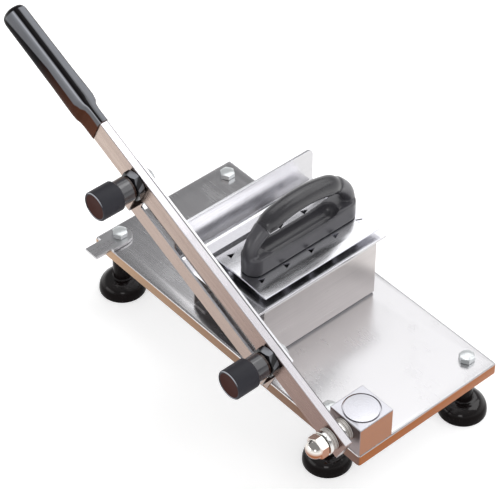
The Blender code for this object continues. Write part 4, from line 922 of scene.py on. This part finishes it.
class SLICER_OT_pivot_stack(bpy.types.Operator):
    """Make the disc springs, thrust rings and domed nut, and finish the stud and its bush"""
    bl_idname = "slicer.pivot_stack"
    bl_label = "Pivot springs and nut"

    def execute(self, context):
        pivot = settings().pivot
        # Painted coppery reflection on the faces of the springs and rings that look down
        stack_reflection = darker(settings().sheet.copper_reflection, 0.9)
        steel = turned_metal("spring_steel", pivot.spring, 0.2, rings=4200.0, metallic=0.2,
                             below=stack_reflection, level=0.1)
        bright = turned_metal("ring_steel", tone(226, 224, 222), 0.12, below=stack_reflection)
        for side in ("inner", "outer"):
            for i, name in enumerate(numbered(side + "_disc_spring", 4)):
                self.ring(name, steel, pivot.disc, (0, 1) if i % 2 else (1, 0), pivot.disc / 3)
            self.ring(side + "_thrust_ring", bright)
        self.nut()
        kept_metal("stud_steel", (196, 194, 190), 0.24, ALONG_AXLE, "pivot_stud")
        kept_metal("bush_bronze", (186, 142, 92), 0.3, ALONG_AXLE, "pivot_bush")
        return {"FINISHED"}

    def measure(self, name):
        """Where a round node starts and ends, outward from the pivot, and its radius."""
        low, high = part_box(name)
        return PIVOT.y - high.y, PIVOT.y - low.y, (high.x - low.x) / 2

    def ring(self, name, material, thick=None, lift=(0, 0), soften=None):
        """A flat ring, or one that is dished where its bore or rim is lifted outward."""
        near, far, radius = self.measure(name)
        bore = settings().pivot.bore
        thick = thick or far - near
        inner, outer = (near + (far - near - thick) * lifted for lifted in lift)
        profile = [(bore, inner + thick), (radius, outer + thick), (radius, outer), (bore, inner)]
        mesh = moved(turned(profile, soften, closed=True), OUTWARD)
        placed(name, "turned", mesh, "root", material, PIVOT)

    def nut(self):
        """The domed nut, its thread's blind bore open towards the bar."""
        pivot = settings().pivot
        near, far, _ = self.measure("pivot_dome_nut")
        flats, bore_end, top = pivot.nut_flats, near + pivot.nut_bore, near + pivot.nut_hexagon
        chamfer, dome_foot = flats / 2 * 0.97, pivot.nut_dome * 1.03
        rings = [circle(0, bore_end), circle(pivot.bore, bore_end), circle(pivot.bore, near),
                 *chamfered(flats, near, top, chamfer)[:3], circle(dome_foot, top)]
        rings += [circle(*p) for p in arc((0, top), pivot.nut_dome, far - top, 6, 90, 16)]
        # Painted coppery reflection on the nut's lower faces, in the pivot end's reflection tone
        material = turned_metal("nut_plating", pivot.chrome, 0.05, rings=900.0, contrast=0.03,
                                below=settings().sheet.copper_reflection, level=0.35)
        placed("pivot_dome_nut", "plated", moved(skin(rings), OUTWARD), "root",
               material, PIVOT)


class SLICER_OT_bar_and_blade(bpy.types.Operator):
    """Make the lever bar and the ground blade on its back"""
    bl_idname = "slicer.bar_and_blade"
    bl_label = "Lever bar and blade"

    def execute(self, context):
        sheet = settings().sheet
        dressed("lever_bar", sheet.edge, "arm", lever_steel(), PIVOT)
        ground = brushed_steel("blade_steel_ground", sheet.blade, 0.16, (700.0, 700.0, 14.0),
                               turn=ALONG_LEVER, contrast=0.1)
        dressed("blade", WELD * 2, "arm", ground, PIVOT, segments=1)
        return {"FINISHED"}


class SLICER_OT_lever_handle(bpy.types.Operator):
    """Make the moulded lever handle"""
    bl_idname = "slicer.lever_handle"
    bl_label = "Lever handle"

    # Place along the handle, growth from socket to grip, taper to the tip, and squareness
    sections = ((0.0, 0.0, 0.0, 4.6), (0.085, 0.0, 0.0, 4.6), (0.125, 0.12, 0.0, 4.2),
                (0.17, 0.72, 0.0, 3.4), (0.215, 1.0, 0.0, 2.7), (0.45, 1.0, 0.45, 2.45),
                (0.70, 1.0, 0.7, 2.4), (0.90, 1.0, 0.9, 2.4))
    steps_between = 6
    tip_share = 0.06
    tip_fullness = 0.36
    tip_seat_share = 0.020
    tip_rings = 13
    tip_quarter = 12.2      # rings to a right angle, which the last ring stays short of
    tip_lean = 0.10
    lean_rings = 5

    def execute(self, context):
        low, high = lever_box("lever_handle")
        bar_low, bar_high = lever_box("lever_bar")
        length = high.x - low.x
        middle = (bar_low.y + bar_high.y) / 2
        shift = (low.y + high.y) / 2 - middle
        rings = [self.ring(high.x - length * along, *self.section(growth, taper),
                           middle + shift * growth, square)
                 for along, growth, taper, square in self.fine_sections()]
        height, depth = self.section(1.0, 1.0)
        for i in range(self.tip_rings):
            angle = radians(90 * i / self.tip_quarter)
            narrow = cos(angle) ** self.tip_fullness
            along = low.x + length * (self.tip_seat_share + self.tip_share * (1 - sin(angle)))
            rings.append(self.ring(along, height * narrow, depth * narrow, middle + shift,
                                   self.sections[-1][3],
                                   self.tip_lean * min(i / self.lean_rings, 1)))
        socket = block((bar_low.x - THIN, bar_low.y - THIN, bar_low.z - THIN),
                       (high.x + length, bar_high.y + THIN, bar_high.z + THIN))
        mesh = smooth(combined(skin(rings), socket, "DIFFERENCE"), radians(40))
        placed("lever_handle", "moulded", moved(mesh, LEVER_TURN), "arm",
               handle_plastic(high.x, low.x), PIVOT)
        return {"FINISHED"}

    def section(self, growth, taper):
        """Height and depth of the handle's section."""
        lever = settings().lever
        wide = lever.grip_height + (lever.tip_height - lever.grip_height) * taper
        deep = lever.grip_depth + (lever.tip_depth - lever.grip_depth) * taper
        return (lever.socket_height + (wide - lever.socket_height) * growth,
                lever.socket_depth + (deep - lever.socket_depth) * growth)

    def fine_sections(self):
        """The sections with smooth steps put between them, up to where the tip begins."""
        fine = []
        for first, second in zip(self.sections, self.sections[1:]):
            for t in [i / self.steps_between for i in range(self.steps_between)]:
                ease = t * t * (3 - 2 * t)
                fine.append([first[0] + (second[0] - first[0]) * t]
                            + [a + (b - a) * ease for a, b in zip(first[1:], second[1:])])
        return fine

    def ring(self, along, height, depth, middle, squareness, lean=0.0, steps=72):
        """Points round the handle; lean sets the upper ones back along it."""
        points = []
        for angle in [tau * (i + 0.5) / steps for i in range(steps)]:
            up, out = (copysign(abs(value) ** (2 / squareness), value)
                       for value in (sin(angle), cos(angle)))
            points.append(Vector((along + lean * up * height / 2, middle + out * depth / 2,
                                  up * height / 2)))
        return points


class SLICER_OT_adjusters(bpy.types.Operator):
    """Make the adjuster bolts and their clamp nuts"""
    bl_idname = "slicer.adjusters"
    bl_label = "Adjuster bolts and clamp nuts"

    def execute(self, context):
        zinc = turned_metal("adjuster_zinc", tone(236, 238, 240), 0.2, metallic=0.55)
        black = facet_plastic()
        for label, place in KNOBS.items():
            name = label + "_adjuster_bolt"
            low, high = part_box(name)
            seat = PIVOT.y - high.y + settings().foot.bolt_head
            turn = Matrix.Translation((0, 0, seat)) @ Matrix.Rotation(pi, 4, "X")
            bolt = moved(hex_bolt(PIVOT.y - low.y - seat), LEVER_TURN @ OUTWARD @ turn)
            placed(name, "zinc", bolt, "arm", zinc, place)
            self.clamp_nut(label + "_clamp_nut", place, black)
        return {"FINISHED"}

    def clamp_nut(self, name, place, material):
        """A moulded nut with a pocket on the knob's side."""
        lever = settings().lever
        near, far, spread = outward(name)
        flats = min(spread.z, spread.x)
        floor = far - lever.plate_gap
        bore, chamfer = settings().foot.bolt_radius + THIN, flats / 2 * 0.985
        rings = [circle(bore, floor), circle(lever.clamp_pocket, floor),
                 circle(lever.clamp_pocket, far),
                 *reversed(chamfered(flats, near, far, chamfer)), circle(bore, near)]
        placed(name, "moulded", moved(skin(rings, closed=True), LEVER_TURN @ OUTWARD), "arm",
               material, place)


class SLICER_OT_knobs(bpy.types.Operator):
    """Make the two knobs, and finish their inserts and clips"""
    bl_idname = "slicer.knobs"
    bl_label = "Knobs"

    def execute(self, context):
        lever = settings().lever
        kept_metal("insert_blackened", (58, 52, 48), 0.3, ALONG_AXLE,
                   "upper_knob_insert", "lower_knob_insert")
        kept_metal("clip_steel", (176, 174, 172), 0.28, ALONG_AXLE, "upper_knob_clip", "lower_knob_clip")
        near, far, spread = outward("upper_knob")
        radius = spread.z / 2
        neck, neck_end = lever.knob_neck, near + lever.knob_neck_length
        inner_rim, dished = radius - lever.knob_rim, far - lever.knob_dish
        bore, step = lever.insert_bore, near + lever.insert_depth
        bolt, blind = settings().foot.bolt_radius + THIN, far - lever.knob_rim * 3
        profile = [(0, dished), (inner_rim - lever.knob_dish, dished), (inner_rim, far),
                   (radius, far - lever.knob_rim), (radius, neck_end + lever.knob_shoulder),
                   (neck, neck_end), (neck, near), (bore, near), (bore, step), (bolt, step),
                   (bolt, blind), (0, blind)]
        material = knob_plastic(neck_end, far)
        for label, place in KNOBS.items():
            mesh = moved(turned(profile, lever.knob_rim / 3), OUTWARD)
            placed(label + "_knob", "moulded", mesh, label + "_knob", material, place)
        return {"FINISHED"}


class SLICER_OT_thickness_plate(bpy.types.Operator):
    """Make the thickness plate with its two lugs"""
    bl_idname = "slicer.thickness_plate"
    bl_label = "Thickness plate"

    def execute(self, context):
        sheet, lever = settings().sheet, settings().lever
        # Painted reflection on the plate's upright faces, taken from the bar's outer face
        outer = blend_tones(lever.near_outer_reflection, lever.far_outer_reflection, 0.3)
        material = brushed_steel("thickness_plate_steel", sheet.polished, 0.24,
                                 (10.0, 640.0, 640.0), (outer,) * 3, ALONG_LEVER)
        self.matt_edges_and_knob_shade(material)
        dressed("thickness_plate", sheet.edge / 2, "thickness_plate", material, PIVOT)
        return {"FINISHED"}

    def matt_edges_and_knob_shade(self, material):
        """Cut edges that look up are matt and pale; round the knobs they carry a painted shade."""
        lever = settings().lever
        vector, normal = object_space(material, ALONG_LEVER)
        slope = side_tones(normal)[2]
        place = parts_of(vector)[0]
        face = ranged(maths("ABSOLUTE", parts_of(normal)[1]), 0.3, 0.7)
        shade = shade_of(material)
        # Painted shade on the cut edges within a knob neck's radius of each knob, between the neck and
        # the clamp nut
        for knob in KNOBS.values():
            away = maths("ABSOLUTE", maths("ADD", place, (knob - PIVOT).length))
            plain = maths("MAXIMUM", face, ranged(away, lever.knob_neck, lever.knob_neck + THIN))
            shade = blended(plain, darker(lever.far_outer_reflection, 0.2), shade)
        shaded(material, {"Base Color": shade, "Metallic": ranged(slope, 0.6, 0.8, 1.0, 0.2)})


class SLICER_OT_pusher_plate(bpy.types.Operator):
    """Make the polished pusher plate and finish its screws"""
    bl_idname = "slicer.pusher_plate"
    bl_label = "Pusher plate"

    def execute(self, context):
        sheet = settings().sheet
        material = brushed_steel("pusher_polish", sheet.polished, 0.18, (300.0, 9.0, 300.0),
                                 contrast=0.05)
        dressed("pusher_plate", sheet.edge / 2, "pusher", material)
        kept_metal("pusher_screw_zinc", (214, 214, 212), 0.2, UNTURNED, *numbered("pusher_screw", 2))
        return {"FINISHED"}


class SLICER_OT_pusher_handle(bpy.types.Operator):
    """Make the pusher handle's base with its legs, and the thicker grip between its seams"""
    bl_idname = "slicer.pusher_handle"
    bl_label = "Pusher handle and grip"

    # The bow's centre line from a foot to its seam, then on to the middle: place along half
    # the span and height, as shares, and the girth of the leg there
    leg_shares = ((0.94, 0.09), (0.975, 0.20), (1.0, 0.35), (0.975, 0.49), (0.915, 0.615), (0.83, 0.72))
    seam_shares = (0.73, 0.81)
    grip_shares = ((0.60, 0.885), (0.42, 0.948), (0.21, 0.988))
    leg_girths = (1.15, 1.04, 1.0, 1.0, 1.04, 1.12)
    scoop_flare = (1.1, 1.03)       # of the finger scoop above the base, in width and length

    def execute(self, context):
        pusher = settings().pusher
        low, high, under = stood("pusher_handle")
        leg, line = self.bow_lines()
        seam_radii = [(pusher.leg_radius + pusher.grip_radius) / 2] * 2
        radii = [pusher.leg_radius * girth for girth in self.leg_girths] + seam_radii
        body = self.base((high.x - low.x) / 2, (high.y - low.y) / 2, leg[0].x - radii[0])
        for side in (1, -1):
            leg_line = [Vector((p.x * side, p.y)) for p in leg]
            body = combined(body, tube(leg_line, radii, 5, steps=32), "UNION")
        body = shaped(body, ("REMESH", {"mode": "VOXEL", "voxel_size": pusher.voxel}),
                      ("SMOOTH", {"factor": 0.5, "iterations": 9}))
        reach = self.leg_shares[0][0] * pusher.bow_span / 2
        depth, bore = pusher.screw_depth, pusher.screw_bore
        for side in (1, -1):
            cutter = turned([(0, depth), (bore, depth), (bore, -depth), (0, -depth)], 0)
            body = combined(body, moved(cutter, Matrix.Translation((0, reach * side, 0))), "DIFFERENCE")
        smooth(body, radians(50))
        plastic = moulding("bow_plastic", pusher.plastic, 0.33, coat=0.2, grains=3800.0)
        placed("pusher_handle", "moulded", body, "pusher", plastic, under)
        girths = seam_radii + [pusher.grip_radius] * (len(line) - 4) + seam_radii
        # The grip's underside gets a strong painted shade
        darker_plastic = moulding("bow_grip_plastic", pusher.grip, 0.3, coat=0.25, grains=3800.0,
                                  below=darker(pusher.grip, 0.3))
        placed("pusher_grip", "moulded", tube(line, girths, 8), "pusher",
               darker_plastic, under)
        return {"FINISHED"}

    def bow_lines(self):
        """Centre line of one leg, foot to seam, and of the grip, in Y and Z from the foot."""
        pusher = settings().pusher
        leg, rise, (seam,) = (
            [Vector((along * pusher.bow_span / 2, up * pusher.bow_height))
             for along, up in shares]
            for shares in (self.leg_shares, self.grip_shares, (self.seam_shares,)))
        tangent = (rise[0] - leg[-1]).normalized()
        half_gap = tangent * pusher.seam / 2
        run = tangent * pusher.seam_run
        half_grip = [seam + half_gap, seam + run, *rise]
        other_half = [Vector((-p.x, p.y)) for p in reversed(half_grip)]
        return (leg + [seam - run, seam - half_gap],
                half_grip + [Vector((0, pusher.bow_height))] + other_half)

    def base(self, half_width, half_length, leg_side):
        """Long base with rounded ends, its rim climbing to the legs round a finger scoop."""
        pusher = settings().pusher
        edge, height = pusher.base_edge, pusher.base_height
        outer = [(half_width - inset, half_length - inset, up)
                 for inset, up in [(0, 0), *arc((edge, height - edge), -edge, edge, 0, 90, 4)]]
        inner_width = half_width - pusher.base_wall
        inner_length = leg_side - pusher.base_wall
        wider, longer = self.scoop_flare
        scoop = [(inner_width * wider, inner_length * longer, up) for up in (height * 2, height)]
        scoop += [(inner_width * narrow, inner_length - inner_width * (1 - narrow), up)
                  for narrow, up in arc((0, height), 1, -pusher.scoop, 4, 84, 8)]
        solid, hollow = (skin([self.round_ended(*sizes, leg_side) for sizes in rings])
                         for rings in (outer, scoop))
        return combined(solid, hollow, "DIFFERENCE")

    def round_ended(self, half_width, half_length, up, leg_side):
        """A ring with half-round ends along Y; high ones climb in the last third to the legs."""
        pusher = settings().pusher
        ring = []
        for side in (1, -1):
            centre = (half_length - half_width) * side
            start = 0 if side > 0 else 180
            straight = centre - pusher.base_wall * 4 * side
            points = [(half_width * side, y) for y in (straight / 2, straight,
                                                       straight + side * pusher.base_wall * 2)]
            points += arc((0, centre), half_width, half_width, start, start + 180, 24)
            points += [(-x, y) for x, y in reversed(points[:3])]
            for x, y in points:
                t = min(max(abs(y) / leg_side * 3 - 2, 0), 1)
                climb = pusher.rise * t * t * (3 - 2 * t) * min(up / pusher.base_height, 1)
                ring.append(Vector((x, y, up + climb)))
        return ring


class SLICER_OT_stage(bpy.types.Operator):
    """Set up the floor, the lamps and the camera"""
    bl_idname = "slicer.stage"
    bl_label = "Stage"

    floor_steps = 12
    floor_paint = (0.86, 0.86, 0.86)
    floor_lift = 0.5
    horizon = (0.12, 0.42)      # heights between which the surroundings turn dark
    # Part of the base's plane that mirrors the soft lamp to the camera, from the base's middle
    glow_low = Vector((-0.02, -0.34))
    glow_high = Vector((0.34, 0.36))
    glow_distance_share = 0.5
    # Other lamps: the node they aim at, azimuth from +X towards +Y and elevation in degrees,
    # distance, width and height, and the setting that gives their brightness with its share
    aimed_lamps = (("side_lamp", "base_plate", 57, 47, 1.5, 1.25, 1.0, "side_glow", 1.0),
                   ("handle_strip", "lever_handle", 69.8, 59.4, 0.9, 0.44, 0.26, "strip", 0.42),
                   ("knob_side_window", "lever_handle", -103, 2, 1.1, 0.95, 0.36, "strip", 0.4),
                   ("camera_side_panel", "base_plate", -46, 22, 1.5, 0.42, 0.3, "strip", 1.0))

    def execute(self, context):
        stage = settings().stage
        self.floor(stage)
        self.surroundings(stage)
        self.lamps(stage)
        self.camera(stage)
        bpy.context.scene.view_settings.view_transform = "Standard"
        return {"FINISHED"}

    def cleared(self, owner):
        """The owner's node tree with nothing in it."""
        owner.use_nodes = True
        owner.node_tree.nodes.clear()
        return owner.node_tree

    def seen_rays(self, tree):
        """1 for rays that see the background, directly or in metal or glass."""
        path = add("LightPath", tree=tree).outputs
        both = maths("MAXIMUM", path["Is Camera Ray"], path["Is Glossy Ray"])
        return maths("MAXIMUM", both, path["Is Transmission Ray"])

    def floor(self, stage):
        """A pale floor that keeps shadows and is lifted to the background's white."""
        bm = bmesh.new()
        bmesh.ops.create_grid(bm, x_segments=self.floor_steps, y_segments=self.floor_steps,
                              size=stage.floor / 2)
        floor = linked("floor", as_mesh(bm))
        material = bpy.data.materials.new("pale_floor")
        tree = self.cleared(material)
        paint = add("BsdfDiffuse", {"Color": self.floor_paint}, tree)
        strength = times(self.seen_rays(tree), self.floor_lift)
        lift = add("Emission", {"Color": stage.background, "Strength": strength})
        both = add("AddShader", {0: paint.outputs[0], 1: lift.outputs[0]})
        add("OutputMaterial", {"Surface": both.outputs[0]})
        floor.data.materials.append(material)

    def surroundings(self, stage):
        """White at the horizon and below, darker overhead for mirrored rays, plain for light."""
        world = bpy.data.worlds.new("studio")
        bpy.context.scene.world = world
        tree = self.cleared(world)
        height = parts_of(add("TexCoord", tree=tree).outputs["Generated"])[2]
        seen = blended(ranged(height, *self.horizon), stage.background, stage.dark)
        mirrored = add("Background", {"Color": seen, "Strength": 1.0})
        light = add("Background", {"Color": (1.0, 1.0, 1.0), "Strength": stage.ambient}, tree)
        mixed = add("MixShader", {0: self.seen_rays(tree), 1: light.outputs[0], 2: mirrored.outputs[0]})
        add("OutputWorld", {"Surface": mixed.outputs[0]})

    def lamps(self, stage):
        eye = Vector(stage.camera_place)
        eye.z = 2 * BASE_HIGH.z - eye.z
        middle = (BASE_LOW + BASE_HIGH) / 2
        centre = (self.glow_low + self.glow_high) / 2
        seen = Vector((middle.x + centre.x, middle.y + centre.y, BASE_HIGH.z))
        extent = (self.glow_high - self.glow_low) * (1 + self.glow_distance_share)
        self.lamp("soft_lamp", seen + (seen - eye) * self.glow_distance_share, *extent, stage.glow)
        for (name, node, azimuth, elevation, distance, width, height, setting,
             portion) in self.aimed_lamps:
            low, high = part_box(node)
            around, up = radians(azimuth), radians(elevation)
            toward = Vector((cos(around) * cos(up), sin(around) * cos(up), sin(up)))
            aim = (low + high) / 2
            lamp = self.lamp(name, aim + toward * distance, width, height,
                             getattr(stage, setting) * portion)
            self.face(lamp, aim)

    def lamp(self, name, place, width, height, brightness):
        """A soft rectangular lamp that faces down and is that bright, 1 being white."""
        data = bpy.data.lights.new(name, "AREA")
        data.shape = "RECTANGLE"
        data.size = width
        data.size_y = height
        data.energy = brightness * pi * width * height
        lamp = linked(name, data)
        lamp.location = place
        return lamp

    def face(self, obj, aim):
        """Turn a lamp or camera to a point."""
        obj.rotation_mode = "QUATERNION"
        obj.rotation_quaternion = (Vector(aim) - obj.location).to_track_quat("-Z", "Y")

    def camera(self, stage):
        data = bpy.data.cameras.new("camera")
        data.lens = stage.lens
        data.sensor_fit = "HORIZONTAL"
        camera = linked("camera", data)
        camera.location = stage.camera_place
        self.face(camera, stage.camera_aim)
        bpy.context.scene.camera = camera


SETTING_GROUPS = (SheetSettings, FootSettings, PivotSettings, LeverSettings, PusherSettings,
                  StageSettings, SlicerSettings)
PIECE_OPERATORS = (SLICER_OT_sheets, SLICER_OT_feet, SLICER_OT_pivot_block,
                   SLICER_OT_pivot_stack, SLICER_OT_bar_and_blade, SLICER_OT_lever_handle,
                   SLICER_OT_adjusters, SLICER_OT_knobs, SLICER_OT_thickness_plate,
                   SLICER_OT_pusher_plate, SLICER_OT_pusher_handle, SLICER_OT_stage)


class SLICER_PT_panel(bpy.types.Panel):
    """Lists the slicer's pieces and settings"""
    bl_label = "Slicer"
    bl_idname = "SLICER_PT_panel"
    bl_space_type = "VIEW_3D"
    bl_region_type = "UI"
    bl_category = "Slicer"

    def draw(self, context):
        slicer = context.scene.slicer
        self.layout.prop(slicer, "round_steps")
        self.layout.prop(slicer, "soften")
        for operator in PIECE_OPERATORS:
            self.layout.operator(operator.bl_idname)
        for group in (slicer.sheet, slicer.foot, slicer.pivot, slicer.lever, slicer.pusher, slicer.stage):
            box = self.layout.box()
            for key in group.__annotations__:
                box.prop(group, key)


CLASSES = (*SETTING_GROUPS, *PIECE_OPERATORS, SLICER_PT_panel)


def register():
    for each in CLASSES:
        bpy.utils.register_class(each)
    bpy.types.Scene.slicer = PointerProperty(type=SlicerSettings)


def unregister():
    del bpy.types.Scene.slicer
    for each in reversed(CLASSES):
        bpy.utils.unregister_class(each)


def main():
    register()
    for operator in PIECE_OPERATORS:
        family, name = operator.bl_idname.split(".")
        getattr(getattr(bpy.ops, family), name)()


if __name__ == "__main__":
    main()
